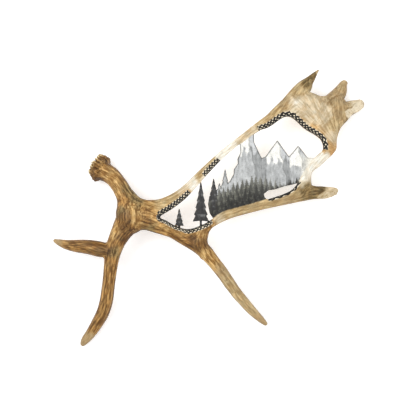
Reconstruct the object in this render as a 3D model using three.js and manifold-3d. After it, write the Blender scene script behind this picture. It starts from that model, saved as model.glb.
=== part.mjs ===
// A cast moose antler with a pierced landscape in its palm, lying convex side up.
// Millimetres, +Z up. The origin is under the middle of the antler, on the surface it
// rests on; +X runs from the brow tines to the far points of the palm.
import * as THREE from 'three';
import { mergeVertices } from 'three/addons/utils/BufferGeometryUtils.js';
import Module from 'manifold-3d';

const wasm = await Module();
wasm.setup();

const REACH = 420; // half the overall length, every limb stays inside it
const SAW_GAP = 0.3; // clearance between neighbouring limbs at a fork
const SIDES = 15; // facets around a limb
const BLADE_SIDES = 22; // facets around a rib of the palm
const PLATE_SIDES = 12; // facets around a rib of the landscape's thin plate
const STEPS = 2; // rings per station of a limb
const PLATE = 7; // thickness of the pierced landscape
const DRAWING_TURN = -30; // degrees, the landscape stands upright across the palm
const DRAWING_ORIGIN = [86, 55]; // where the middle of the landscape lies on the palm

// Limbs: [x, y, z, half width] along the centre line, thick end first.
const BEAM = [
  [-181, 239, 33, 23], [-174, 228, 39, 21.5], [-166, 214, 47, 20.5], [-161, 198, 57, 20],
  [-158, 177, 68, 20.4], [-158, 154, 77, 23], [-162, 130, 83, 28], [-171, 107, 84, 34],
  [-188, 92, 82, 29], [-203, 82, 79, 24],
];
const BROW = [
  [-160, 116, 84, 28], [-182, 101, 82, 29], [-205, 90, 79, 24], [-228, 76, 76, 20.5],
  [-247, 60, 73, 19], [-261, 43, 70, 16.6], [-283.5, 12, 62, 15], [-300.5, -10, 54, 15],
  [-320.5, -34, 42, 15.4], [-342, -53, 31, 14.8], [-366.5, -67.5, 21, 13.5], [-390, -79.5, 14, 12],
  [-409, -87, 9, 9.8], [-419.6, -92, 4.8, 6.2],
];
const BROW_SIDE = [
  [-238, 48, 73, 20], [-252, 62, 74, 20], [-268, 77, 72, 18], [-286, 92, 68, 17],
  [-301, 103, 63, 15.8], [-316, 113, 57, 14.2], [-332, 125, 50, 11.4], [-345, 138, 43, 7.8],
  [-352.5, 147, 39, 4.2],
];
const REAR = [
  [-127, 74, 90, 14], [-109, 42, 90, 16.5], [-90, 8, 86, 18], [-73, -22, 81, 18.5],
  [-64.5, -48, 75, 17], [-60, -73, 69, 15.2], [-56, -102, 60, 14.2], [-53, -136, 49, 13.4],
  [-50, -166, 39, 12.8], [-45.5, -192, 30, 12], [-41, -216, 21, 11], [-36, -236, 14, 9.2],
  [-31, -254, 7.6, 7], [-28, -264.4, 4, 5],
];
// Webs that round the three forks off.
const BROW_WEB = [
  [-204, 106, 79, 14], [-186, 99, 82, 20.5], [-166, 93, 85, 23], [-145, 81, 87, 22.5],
  [-126, 58, 89, 19.5], [-110, 36, 90, 15],
];
const BEAM_WEB = [[-160, 182, 67, 15], [-152, 151, 76, 17.5], [-139, 124, 84, 16], [-116, 103, 90, 13]];
const REAR_WEB = [[-16, 3, 95, 8], [-42, -3, 92, 13], [-62, -22, 86, 16], [-67, -52, 76, 15]];
// Points of the palm, flattened like its edge: [x, y, z, half width].
const POINTS = [
  [[276, 146, 66, 23.5], [302, 159.5, 57, 19.2], [324, 168.5, 48, 14.4], [343, 174.5, 38, 9.8],
    [359, 180.5, 28, 5.8], [370, 184, 22, 2.8]],
  [[312, 88, 62, 32], [341, 97.5, 50, 28], [368, 108, 36, 20.5], [391, 118, 20, 12.8],
    [406, 126, 9, 9.2], [412, 128.5, 3, 6.8]],
  [[312, 76, 62, 26], [340, 75, 49, 24], [371, 74, 36, 20.8], [391, 72, 27, 17],
    [406, 69.5, 21, 14], [415, 68, 17, 11.4]],
  [[60, -9, 90, 7], [100, -21, 86, 9], [146, -33, 80, 12], [187, -44, 74, 14.5],
    [218, -55, 67, 14.8], [243, -69.5, 60, 13.9], [257, -78, 56, 12.4]],
];

// Palm, as ribs across it: [x, lower edge y, upper edge y, crest z, thickness, sag to the edges].
const RIBS = [
  [-152, 70, 124, 86, 42, 3], [-126, 32, 126, 88, 35, 5], [-100, 0, 111, 91, 27, 8],
  [-75, -14, 106, 93, 22, 11], [-48, -13, 106, 95, 19, 13], [-20, -8, 111, 97, 17, 14],
  [20, -10, 121, 99, 15, 14], [80, -26, 134, 99, 15, 15], [140, -44, 143, 97, 15, 16],
  [180, -53, 149, 94, 16, 16], [206, -46, 152, 91, 17, 16], [228, -26, 157, 88, 17, 16],
  [250, -12, 163, 84, 17, 16], [278, -6, 168, 77, 16, 15], [305, 2, 162, 69, 15, 13],
  [325, 22, 153, 62, 14, 11], [345, 41, 135, 54, 13, 8], [368, 49, 124, 45, 12, 6],
  [390, 57, 100, 34, 10, 3],
];

// Edge of the opening sawn through the palm.
const OPENING = [
  [-113, 73], [-80, 75], [-45, 79.5], [-10, 90], [40, 106.5], [90, 120], [148, 129],
  [178, 130.5], [204, 126], [240, 129], [256, 123], [264, 108], [272, 82], [288, 54], [292, 38],
  [285, 20], [262, 14], [224, -1], [187, -21], [160, -23], [116, -14], [66, -2], [20, 10],
  [-10, 9.5], [-40, 9.5], [-72, 17], [-92, 36], [-105, 58],
];

// Landscape left standing in the opening, in its own upright frame: [right, up].
const SKIES = [
  // from the west corner over the forest hill to the first peak
  [[-190, -80], [-150, -45], [-110, -10], [-60, 40], [-13, 76], [-1, 84], [1, 62], [-6, 47],
    [-5, 37], [-14, 24], [-15, 12], [-24, -4], [-40, -18], [-57, -24], [-70, -38], [-73, -56],
    [-69, -76], [-60, -89], [-66, -97], [-82, -108], [-110, -118], [-140, -118], [-176, -92]],
  // over the eastern peaks
  [[32, 104], [48, 114], [77, 134], [109, 150], [138, 130], [162, 113], [186, 98], [194, 77],
    [188, 60], [168, 50], [154, 51], [143, 65], [132, 78], [121, 64], [111, 53], [100, 68],
    [85, 90], [70, 70], [58, 53], [49, 49], [40, 68], [32, 85]],
  // under the mountains, over the lake
  [[137, -6], [131, -17], [124, -28], [91, -38], [64, -46], [56, -40], [54, -32], [64, -24],
    [79, -22], [100, -15], [118, -11]],
];
// Spruces that stand in the skies: [right, foot, height, half width, tiers of boughs].
const SPRUCES = [
  [-89, -93, 94, 19, 6], [-138, -104, 42, 11, 4], [-60, -45, 52, 12, 4], [-34, -30, 58, 13, 4],
  [-47, -38, 34, 9, 3],
];
const TRUNK = [5, 22]; // width, and how far it reaches below the boughs

// Burr at the cast end: its middle, the way its base faces, and its profile along that way
// as [distance, radius, height of the crests].
const BURR_CENTRE = new THREE.Vector3(-183, 243, 29.2);
const BURR_FACING = new THREE.Vector3(-0.49, 0.74, -0.46).normalize();
const BURR_CRESTS = 17;
const BURR_PROFILE = [
  [-24, 19, 0.4], [-15, 23, 0.8], [-8, 27.5, 1.6], [-3, 30, 2.4], [2, 31, 2.8], [7, 28.5, 2.2],
  [11, 22, 1], [12.5, 15, 0],
];
const BURR_SIDES = 51;

// Saw cuts at the main forks: a point of the plane, the way the branch leaves it, and the
// half width and length of the block that takes the branch and nothing else.
const SIDE_CUT = { at: [-262, 71, 72], away: [-0.78, 0.62, -0.08], half: 60, length: 140 };
const REAR_CUT = { at: [-70, -38, 78], away: [0.22, -0.96, -0.15], half: 75, length: 300 };
const BROW_CUT = { at: [-203, 88, 79], away: [-0.84, -0.53, -0.1], half: 170, length: 330 };
const PALM_CUT = { at: [-122, 84, 88], away: [0.99, -0.14, 0.02], half: 260, length: 620 };

const UP = new THREE.Vector3(0, 0, 1);
const point = (x, y, z) => new THREE.Vector3(x, y, z);

/** Turns a closed three.js surface into a solid that can be joined and cut. */
function solid(geometry) {
  const bare = geometry.index ? geometry : geometry.clone();
  bare.deleteAttribute('normal');
  bare.deleteAttribute('uv');
  const welded = mergeVertices(bare, 1e-4);
  return new wasm.Manifold(new wasm.Mesh({
    numProp: 3,
    vertProperties: new Float32Array(welded.attributes.position.array),
    triVerts: new Uint32Array(welded.index.array),
  }));
}

/** Turns a solid back into a three.js surface. */
function surface(body) {
  const mesh = body.getMesh();
  const geometry = new THREE.BufferGeometry();
  geometry.setAttribute('position', new THREE.BufferAttribute(mesh.vertProperties, 3));
  geometry.setIndex(new THREE.BufferAttribute(mesh.triVerts, 1));
  return geometry;
}

/** Closed skin over a row of rings of equal length, with both ends capped from their middle. */
function skin(rings) {
  const count = rings[0].length;
  const vertices = rings.flat();
  const index = [];
  for (let i = 0; i + 1 < rings.length; i += 1) {
    for (let j = 0; j < count; j += 1) {
      const a = i * count + j;
      const b = i * count + (j + 1) % count;
      index.push(a, b, b + count, a, b + count, a + count);
    }
  }
  for (const [ring, first] of [[rings[0], true], [rings.at(-1), false]]) {
    const start = first ? 0 : (rings.length - 1) * count;
    const middle = ring.reduce((sum, p) => sum.add(p), point(0, 0, 0)).divideScalar(count);
    vertices.push(middle);
    for (let j = 0; j < count; j += 1) {
      const a = start + j;
      const b = start + (j + 1) % count;
      index.push(vertices.length - 1, first ? b : a, first ? a : b);
    }
  }
  const geometry = new THREE.BufferGeometry().setFromPoints(vertices);
  geometry.setIndex(index);
  return solid(geometry);
}

/** Gutters that run along a limb, as a factor on its radius. */
function gutters(angle, along, phase) {
  const broad = 0.035 * Math.cos(3 * angle + phase + 0.9 * along);
  const fine = 0.022 * Math.cos(7 * angle - 2 * phase + 0.5 * along);
  return 1 + broad + fine;
}

/**
 * Limb along a smooth line through its stations, with a rounded tip. Its height is a share
 * of its width that passes from depth[0] at the thick end to depth[1] well before the tip.
 */
function limb(stations, { depth, sides = SIDES, ridged = false, phase = 0 }) {
  const points = stations.map(([x, y, z]) => point(x, y, z));
  const path = new THREE.CatmullRomCurve3(points, false, 'catmullrom', 0.5);
  const widths = new THREE.SplineCurve(stations.map(([, , , r], i) => new THREE.Vector2(i, r)));
  const spans = (stations.length - 1) * STEPS;
  const ring = (t, advance, shrink) => {
    const along = path.getTangent(t);
    const across = new THREE.Vector3().crossVectors(UP, along).normalize();
    const over = new THREE.Vector3().crossVectors(along, across);
    const half = widths.getPoint(t).y;
    const flatness = THREE.MathUtils.lerp(depth[0], depth[1], Math.min(1, 1.6 * t));
    const middle = path.getPoint(t).addScaledVector(along, advance * half);
    return Array.from({ length: sides }, (_, j) => {
      const angle = (2 * Math.PI * j) / sides;
      const r = half * shrink * (ridged ? gutters(angle, t * stations.length, phase) : 1);
      return middle.clone()
        .addScaledVector(across, r * Math.cos(angle))
        .addScaledVector(over, r * flatness * Math.sin(angle));
    });
  };
  const rings = Array.from({ length: spans + 1 }, (_, i) => ring(i / spans, 0, 1));
  for (const tilt of [0.5, 1, 1.35]) rings.push(ring(1, Math.sin(tilt), Math.cos(tilt)));
  return skin(rings);
}

/** Palm as a loft of lens-like ribs; thickness(rib) lets the same loft give the thin plate. */
function palmBlade(thickness, sides) {
  const spline = (value) => new THREE.SplineCurve(
    RIBS.map((rib) => new THREE.Vector2(rib[0], value(rib))),
  );
  const [lows, highs, crests, sags] = [1, 2, 3, 5].map((k) => spline((rib) => rib[k]));
  const depths = spline(thickness);
  const spans = (RIBS.length - 1) * STEPS;
  const rings = Array.from({ length: spans + 1 }, (_, i) => {
    const t = i / spans;
    const { x, y: low } = lows.getPoint(t);
    const half = (highs.getPoint(t).y - low) / 2;
    return Array.from({ length: sides }, (__, j) => {
      const c = Math.cos((2 * Math.PI * j) / sides);
      const s = Math.sin((2 * Math.PI * j) / sides);
      const side = Math.sign(c) * Math.abs(c) ** 0.7;
      const rise = (depths.getPoint(t).y / 2) * Math.sign(s) * Math.abs(s) ** 0.55;
      const middle = crests.getPoint(t).y - sags.getPoint(t).y * side * side;
      return point(x, low + half * (1 + side), middle + rise);
    });
  });
  return skin(rings);
}

/** Upright prism over a closed outline in the palm's plan. */
function prism(outline, smooth) {
  const corners = outline.map(([x, y]) => new THREE.Vector2(x, y));
  const shape = new THREE.Shape();
  if (smooth) {
    shape.moveTo(corners[0].x, corners[0].y);
    shape.splineThru([...corners.slice(1), corners[0]]);
  } else {
    shape.setFromPoints(corners);
  }
  const geometry = new THREE.ExtrudeGeometry(shape, { depth: 200, bevelEnabled: false, curveSegments: 2 });
  return solid(geometry);
}

/** Prism over an outline of the landscape, turned and moved from its frame onto the palm. */
function drawnPrism(outline) {
  const turn = THREE.MathUtils.degToRad(DRAWING_TURN);
  const placed = outline.map(([u, v]) => {
    const p = new THREE.Vector2(u, v).rotateAround(new THREE.Vector2(), turn);
    return [p.x + DRAWING_ORIGIN[0], p.y + DRAWING_ORIGIN[1]];
  });
  return prism(placed, false);
}

/** Outline of a spruce: drooping tiers of boughs that narrow to the top, on a trunk. */
function spruce([u, foot, height, half, tiers]) {
  const right = [[TRUNK[0] / 2, -TRUNK[1]], [TRUNK[0] / 2, 0]];
  for (let k = 0; k < tiers; k += 1) {
    const taper = 1 - k / tiers;
    right.push([half * taper, height * (k / tiers - 0.02)]);
    right.push([half * (taper - 0.8 / tiers) * 0.75, height * ((k + 0.75) / tiers)]);
  }
  const left = right.map(([x, y]) => [-x, y]).reverse();
  return [...right, [0, height], ...left].map(([x, y]) => [u + x, foot + y]);
}

/** Burr: a knobbly collar turned about the way the base faces. */
function burr() {
  const across = new THREE.Vector3().crossVectors(UP, BURR_FACING).normalize();
  const over = new THREE.Vector3().crossVectors(BURR_FACING, across);
  const rings = BURR_PROFILE.map(([distance, radius, crest], i) => (
    Array.from({ length: BURR_SIDES }, (_, j) => {
      const angle = (2 * Math.PI * j) / BURR_SIDES;
      const knob = Math.cos(BURR_CRESTS * angle + 1.1 * (i % 2));
      const swell = 0.6 * Math.cos(5 * angle + 1) + 0.5 * Math.cos(9 * angle + 2.3);
      const r = radius + crest * (knob + swell);
      return BURR_CENTRE.clone()
        .addScaledVector(BURR_FACING, distance)
        .addScaledVector(across, r * Math.cos(angle))
        .addScaledVector(over, r * Math.sin(angle));
    })
  ));
  return skin(rings);
}

/** Block beyond a saw cut, starting a little way past the plane. */
function block(cut, start) {
  const away = point(...cut.away).normalize();
  const geometry = new THREE.BoxGeometry(2 * cut.half, 2 * cut.half, cut.length - start);
  geometry.translate(0, 0, (cut.length + start) / 2);
  geometry.applyQuaternion(new THREE.Quaternion().setFromUnitVectors(UP, away));
  geometry.translate(...cut.at);
  return solid(geometry);
}

/** Saws a branch off a body and gives [what stays, the branch]. */
function sawOff(body, cut) {
  return [body.subtract(block(cut, 0)), body.intersect(block(cut, SAW_GAP))];
}

const join = (bodies) => bodies.reduce((sum, body) => sum.add(body));

const ground = new THREE.BoxGeometry(4 * REACH, 4 * REACH, 100).translate(0, 0, -50);
const opening = prism(OPENING, true);
const trees = join(SPRUCES.map((row) => drawnPrism(spruce(row))));
const windows = join(SKIES.map(drawnPrism)).intersect(opening).subtract(trees);
const rim = palmBlade((rib) => rib[4], BLADE_SIDES).subtract(opening);
const plate = palmBlade(() => PLATE, PLATE_SIDES).subtract(windows);
const round = [
  limb(BEAM, { depth: [0.98, 0.7], ridged: true, phase: 0.4 }),
  limb(BROW, { depth: [0.7, 0.9], ridged: true, phase: 1.7 }),
  limb(BROW_SIDE, { depth: [0.84, 0.84], ridged: true, phase: 2.6 }),
  limb(REAR, { depth: [0.62, 0.9], ridged: true, phase: 3.9 }),
  limb(BROW_WEB, { depth: [0.7, 0.7], sides: 12 }),
  limb(BEAM_WEB, { depth: [0.9, 0.7], sides: 12 }),
  limb(REAR_WEB, { depth: [0.6, 0.8], sides: 12 }),
];
const flat = POINTS.map((stations) => limb(stations, { depth: [0.42, 0.5], sides: 12 }));
const limbs = join([...round, ...flat]).subtract(opening);
const antler = join([limbs, burr(), rim, plate]).subtract(solid(ground));

const [withoutSide, browSideTine] = sawOff(antler, SIDE_CUT);
const [withoutRear, rearTine] = sawOff(withoutSide, REAR_CUT);
const [withoutBrow, browBranch] = sawOff(withoutRear, BROW_CUT);
const [burrBeam, palm] = sawOff(withoutBrow, PALM_CUT);

const finishes = {
  beam: new THREE.MeshStandardMaterial({ color: 0xb8925c, roughness: 0.6, metalness: 0 }),
  brow: new THREE.MeshStandardMaterial({ color: 0xa27c48, roughness: 0.6, metalness: 0 }),
  side: new THREE.MeshStandardMaterial({ color: 0xb08a55, roughness: 0.6, metalness: 0 }),
  rear: new THREE.MeshStandardMaterial({ color: 0xb48c56, roughness: 0.6, metalness: 0 }),
  palm: new THREE.MeshStandardMaterial({ color: 0xcdb48a, roughness: 0.55, metalness: 0 }),
};

/** Named mesh of one node of the antler. */
function node(name, body, material) {
  const mesh = new THREE.Mesh(surface(body), material);
  mesh.name = name;
  return mesh;
}

const part = new THREE.Group();
part.name = 'moose_antler';
part.add(
  node('burr_beam', burrBeam, finishes.beam),
  node('brow_branch', browBranch, finishes.brow),
  node('brow_side_tine', browSideTine, finishes.side),
  node('palm', palm, finishes.palm),
  node('rear_tine', rearTine, finishes.rear),
);

export default part;
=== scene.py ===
"""Dresses a carved moose antler: its limbs, burr and pierced palm as close surfaces.

Every shape is a distance worked out on a box of small cells, in millimetres, and turned
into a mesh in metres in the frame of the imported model.
"""

import logging
import math
from collections.abc import Iterator
from dataclasses import dataclass, field
from enum import Enum
from itertools import product

import bmesh
import bpy
import numpy as np
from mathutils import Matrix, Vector


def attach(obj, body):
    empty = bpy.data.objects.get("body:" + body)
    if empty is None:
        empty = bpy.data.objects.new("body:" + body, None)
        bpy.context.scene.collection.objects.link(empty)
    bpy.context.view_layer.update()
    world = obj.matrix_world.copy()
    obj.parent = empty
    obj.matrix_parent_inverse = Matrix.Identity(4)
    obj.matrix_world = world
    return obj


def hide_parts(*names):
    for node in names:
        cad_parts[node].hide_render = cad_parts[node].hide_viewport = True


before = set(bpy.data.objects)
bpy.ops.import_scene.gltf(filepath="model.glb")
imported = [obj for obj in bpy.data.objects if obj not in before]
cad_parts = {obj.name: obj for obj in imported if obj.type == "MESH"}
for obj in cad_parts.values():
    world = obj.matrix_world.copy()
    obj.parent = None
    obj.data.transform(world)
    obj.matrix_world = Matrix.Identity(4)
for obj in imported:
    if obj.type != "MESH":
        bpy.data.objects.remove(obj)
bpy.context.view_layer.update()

LOG = logging.getLogger("antler")
MM = 0.001
FAR = 18.0  # mm, distance kept where nothing is near
CORNERS = tuple(product((0, 1), repeat=3))  # of a unit cell

Rows = tuple[tuple[float, ...], ...]
Triple = tuple[float, float, float]
Part = tuple[slice, slice, slice]
Socket = bpy.types.NodeSocket


# ---------------------------------------------------------------------------
# Small tools on arrays
# ---------------------------------------------------------------------------


def smooth_rows(rows: Rows, per_span: int) -> np.ndarray:
    """Catmull-Rom curve through the rows: each span blends its four nearest rows by cubics.

    Args:
        rows: stations, any number of columns.
        per_span: points per span.

    Returns:
        Array of points, one row each, the last station included.
    """
    p = np.asarray(rows, dtype=float)
    p = np.vstack([2 * p[0] - p[1], p, 2 * p[-1] - p[-2]])
    t = np.linspace(0.0, 1.0, per_span, endpoint=False)[:, None]
    spans = [
        0.5
        * (
            2 * b
            + (c - a) * t
            + (2 * a - 5 * b + 4 * c - d) * t**2
            + (3 * b - a - 3 * c + d) * t**3
        )
        for a, b, c, d in zip(p[:-3], p[1:-2], p[2:-1], p[3:])
    ]
    return np.vstack([*spans, p[-2][None]])


def ramp(value: np.ndarray, low: float, high: float) -> np.ndarray:
    """Smooth step from 0 at low to 1 at high."""
    t = np.clip((value - low) / (high - low), 0.0, 1.0)
    return t * t * (3 - 2 * t)


def melt(a: np.ndarray, b: np.ndarray, width: float) -> np.ndarray:
    """Smooth smaller of two distances: it dips by a quarter of width where they are equal."""
    h = np.clip(1.0 - np.abs(a - b) / width, 0.0, 1.0)
    return np.minimum(a, b) - h * h * (width / 4)


def tint(colour: np.ndarray, other: Triple | np.ndarray, share: np.ndarray) -> np.ndarray:
    """Colours turned into the other by that share, a row each."""
    return colour + (np.asarray(other) - colour) * share[:, None]


def unit(vectors: np.ndarray) -> np.ndarray:
    """Vectors scaled to length one."""
    return vectors / np.maximum(np.linalg.norm(vectors, axis=-1, keepdims=True), 1e-9)


def corner_shares(f: np.ndarray) -> Iterator[tuple[tuple[int, int, int], np.ndarray]]:
    """Corners of a unit cell, each with its share at points inside the cell.

    The share is the product, over the three axes, of the way along the axis or of what is
    left of it.

    Args:
        f: places in the cell, from 0 to 1 along each axis.

    Returns:
        Each corner in turn, with its share at each point.
    """
    for i, j, k in CORNERS:
        yield (i, j, k), (
            (f[:, 0] if i else 1 - f[:, 0])
            * (f[:, 1] if j else 1 - f[:, 1])
            * (f[:, 2] if k else 1 - f[:, 2])
        )


class Noise:
    """Value noise: random numbers on a cubic lattice, blended by smooth steps."""

    WORD = 0xFFFFFFFF  # keeps 32 bits
    AXES = (73856093, 19349663, 83492791)  # factors that tell the axes apart
    SEED = 2654435761  # factor that tells the seeds apart
    ROUNDS = ((15, 2246822519), (13, 3266489917))  # shift and factor of each round of mixing
    FADE = 0.55  # strength of an octave against the one before
    OFFSET = 17.3  # keeps the lattices of the octaves apart

    def __init__(self, seed: int) -> None:
        """Keeps the seed that tells one noise from another."""
        self.seed = seed

    def corner(self, cell: np.ndarray) -> np.ndarray:
        """Random number of each cell: its three whole numbers mixed by factors and shifts.

        Args:
            cell: whole numbers, a row of three for each cell.

        Returns:
            Numbers from 0 to 1.
        """
        mixed = self.seed * self.SEED
        for column, factor in zip(cell.T, self.AXES):
            mixed = mixed ^ (column * factor)
        mixed = mixed & self.WORD
        for shift, factor in self.ROUNDS:
            mixed = (mixed ^ (mixed >> shift)) * factor & self.WORD
        return ((mixed ^ (mixed >> 16)) & 0xFFFFFF) / float(0xFFFFFF)

    def at(self, points: np.ndarray) -> np.ndarray:
        """Noise at points: the eight corners round each, blended by a smooth step.

        Args:
            points: places, in cells of the lattice.

        Returns:
            Noise from -1 to 1.
        """
        base = np.floor(points)
        f = points - base
        f = f * f * f * (f * (f * 6 - 15) + 10)
        base = base.astype(np.int64)
        total = np.zeros(len(points))
        for corner, share in corner_shares(f):
            total += share * self.corner(base + np.array(corner))
        return 2 * total - 1

    def fractal(self, points: np.ndarray, octaves: int) -> np.ndarray:
        """Sum of octaves, each twice as fine as the one before and weaker by the fade.

        Args:
            points: places, in cells of the first lattice.
            octaves: how many are added.

        Returns:
            Noise from -1 to 1.
        """
        total = np.zeros(len(points))
        weight, norm = 1.0, 0.0
        for octave in range(octaves):
            total += weight * self.at(points * 2.0**octave + self.OFFSET * octave)
            norm += weight
            weight *= self.FADE
        return total / norm


def outline_distance(
    x: np.ndarray, y: np.ndarray, outline: np.ndarray
) -> tuple[np.ndarray, np.ndarray]:
    """Distance to a closed outline, less than zero inside, and the arc length of the nearest point.

    Each edge gives the distance to its nearest point; a point is inside when a ray from it
    crosses the outline an odd number of times.

    Args:
        x: coordinates of the points.
        y: coordinates of the points.
        outline: corners in order.

    Returns:
        The signed distances and the arc lengths.
    """
    best = np.full(x.shape, 1e9)
    arc = np.zeros(x.shape)
    inside = np.zeros(x.shape, dtype=bool)
    start = 0.0
    for a, b in zip(outline, np.roll(outline, -1, axis=0)):
        edge = b - a
        length = float(np.hypot(*edge))
        t = np.clip(((x - a[0]) * edge[0] + (y - a[1]) * edge[1]) / length**2, 0, 1)
        d = np.hypot(x - a[0] - t * edge[0], y - a[1] - t * edge[1])
        nearer = d < best
        best = np.where(nearer, d, best)
        arc = np.where(nearer, start + t * length, arc)
        if a[1] != b[1]:
            crossing = (a[1] > y) != (b[1] > y)
            inside ^= crossing & (x < a[0] + edge[0] * (y - a[1]) / edge[1])
        start += length
    return np.where(inside, -best, best), arc


# ---------------------------------------------------------------------------
# Box of cells and the surface in it
# ---------------------------------------------------------------------------


@dataclass
class Cells:
    """Distances on a box of cubic cells, in millimetres; solid is less than zero."""

    low: Triple
    high: Triple
    step: float
    values: np.ndarray = field(init=False)
    axes: list[np.ndarray] = field(init=False)

    def __post_init__(self) -> None:
        """Lays the axes out and fills the box with the far distance."""
        self.axes = [
            np.arange(a, b + self.step, self.step, dtype=np.float32)
            for a, b in zip(self.low, self.high)
        ]
        self.values = np.full([len(a) for a in self.axes], FAR, dtype=np.float32)

    def part(self, low: np.ndarray, high: np.ndarray) -> Part | None:
        """Part of the box between two corners.

        Args:
            low: lowest corner.
            high: highest corner.

        Returns:
            A slice of each axis, or None where they miss the box.
        """
        slices = []
        for axis, a, b in zip(self.axes, low, high):
            i = int(np.searchsorted(axis, a))
            j = int(np.searchsorted(axis, b))
            if j - i < 1:
                return None
            slices.append(slice(i, j))
        return tuple(slices)

    def grid(self, part: Part) -> tuple[np.ndarray, ...]:
        """x, y and z of those cells, shaped so that they broadcast."""
        return np.ix_(*(axis[s] for axis, s in zip(self.axes, part)))

    def read(self, array: np.ndarray, points: np.ndarray) -> np.ndarray:
        """Value at points: the eight cell corners round each, blended in a straight line.

        Args:
            array: a value for each corner of the cells.
            points: places in mm.

        Returns:
            The value at each point.
        """
        q = (points - np.array([a[0] for a in self.axes])) / self.step
        top = np.array(array.shape) - 2
        cell = np.clip(np.floor(q).astype(int), 0, top)
        f = np.clip(q - cell, 0.0, 1.0)
        total = np.zeros(len(points))
        for (i, j, k), share in corner_shares(f):
            total += share * array[cell[:, 0] + i, cell[:, 1] + j, cell[:, 2] + k]
        return total

    def fill_creases(self, reach: float) -> None:
        """Rounds the hollow corners: the smaller of each distance and the mean round it.

        Running means along the three axes, twice over, stand for the mean. It equals the
        distance on a flat face and is smaller only in a hollow, so nothing else swells.

        Args:
            reach: half width of each running mean, in mm.
        """
        half = max(1, round(reach / self.step))
        mean = self.values
        for axis in (0, 1, 2, 0, 1, 2):
            ends = [(half + 1, half) if k == axis else (0, 0) for k in range(3)]
            total = np.cumsum(np.pad(mean, ends, mode="edge"), axis=axis, dtype=np.float64)
            count = mean.shape[axis]
            upper = np.take(total, np.arange(2 * half + 1, 2 * half + 1 + count), axis=axis)
            lower = np.take(total, np.arange(0, count), axis=axis)
            mean = ((upper - lower) / (2 * half + 1)).astype(np.float32)
        self.values = np.minimum(self.values, mean)

    def surface(self) -> tuple[np.ndarray, np.ndarray]:
        """Mesh of the zero distance, as a net of quads.

        A cell whose corners differ in sign holds one vertex, at the mean of the zero
        points on its edges; each cell edge that crosses zero joins the vertices of its four
        cells. Two steps down the slope then bring each vertex onto the zero distance.

        Returns:
            Vertices and quads.
        """
        solid = self.values < 0
        verts, number = self._net_points(solid)
        quads = np.vstack([self._net_quads(solid, number, axis) for axis in range(3)])
        slopes = self.slopes()
        for _ in range(2):
            normal = np.stack([self.read(g, verts) for g in slopes], axis=1)
            size = np.maximum((normal**2).sum(axis=1), 0.1)
            shift = normal * (self.read(self.values, verts) / size)[:, None]
            verts = verts - np.clip(shift, -0.4 * self.step, 0.4 * self.step)
        return verts, quads

    def slopes(self) -> list[np.ndarray]:
        """Slope of the distance along each axis."""
        return [g.astype(np.float32) for g in np.gradient(self.values, self.step)]

    def _net_points(self, solid: np.ndarray) -> tuple[np.ndarray, np.ndarray]:
        """One vertex for each cell that the surface passes through.

        Args:
            solid: True at the corners inside the antler.

        Returns:
            The vertices in mm, and each cell's vertex number, -1 where it has none.
        """
        v = self.values
        nx, ny, nz = (n - 1 for n in v.shape)
        count = sum(
            solid[i : nx + i, j : ny + j, k : nz + k].astype(np.uint8) for i, j, k in CORNERS
        )
        mixed = (count > 0) & (count < len(CORNERS))
        cells = np.argwhere(mixed)
        number = np.full(mixed.shape, -1, dtype=np.int64)
        number[mixed] = np.arange(len(cells))
        at = np.stack(
            [v[cells[:, 0] + i, cells[:, 1] + j, cells[:, 2] + k] for i, j, k in CORNERS], axis=1
        )
        place = np.zeros((len(cells), 3))
        hits = np.zeros(len(cells))
        for a, ca in enumerate(CORNERS):
            for b, cb in enumerate(CORNERS):
                if b <= a or sum(p != q for p, q in zip(ca, cb)) != 1:
                    continue
                crosses = (at[:, a] < 0) != (at[:, b] < 0)
                t = at[:, a] / np.where(crosses, at[:, a] - at[:, b], 1.0)
                point = np.array(ca) + t[:, None] * (np.array(cb) - np.array(ca))
                place += np.where(crosses[:, None], point, 0.0)
                hits += crosses
        verts = (cells + place / hits[:, None]) * self.step + [a[0] for a in self.axes]
        return verts, number

    def _net_quads(self, solid: np.ndarray, number: np.ndarray, axis: int) -> np.ndarray:
        """Quads across the cell edges along one axis that the surface crosses.

        Args:
            solid: True at the corners inside the antler.
            number: each cell's vertex number.
            axis: the way the edges run, 0 to 2.

        Returns:
            Rows of four vertex numbers, turned so that they face out.
        """
        one, two = [(1, 2), (2, 0), (0, 1)][axis]
        first = [slice(1, -1)] * 3
        first[axis] = slice(0, -1)
        second = [slice(1, -1)] * 3
        second[axis] = slice(1, None)
        near, far = solid[tuple(first)], solid[tuple(second)]
        edge = np.argwhere(near != far)
        outward = near[tuple(edge.T)]
        edge = edge + 1
        edge[:, axis] -= 1
        ring = []
        for da, db in ((1, 1), (0, 1), (0, 0), (1, 0)):
            cell = edge.copy()
            cell[:, one] -= da
            cell[:, two] -= db
            ring.append(number[tuple(cell.T)])
        quad = np.stack(ring, axis=1)
        quad[~outward] = quad[~outward][:, ::-1]
        return quad


# ---------------------------------------------------------------------------
# Limbs, burr and palm
# ---------------------------------------------------------------------------


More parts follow.
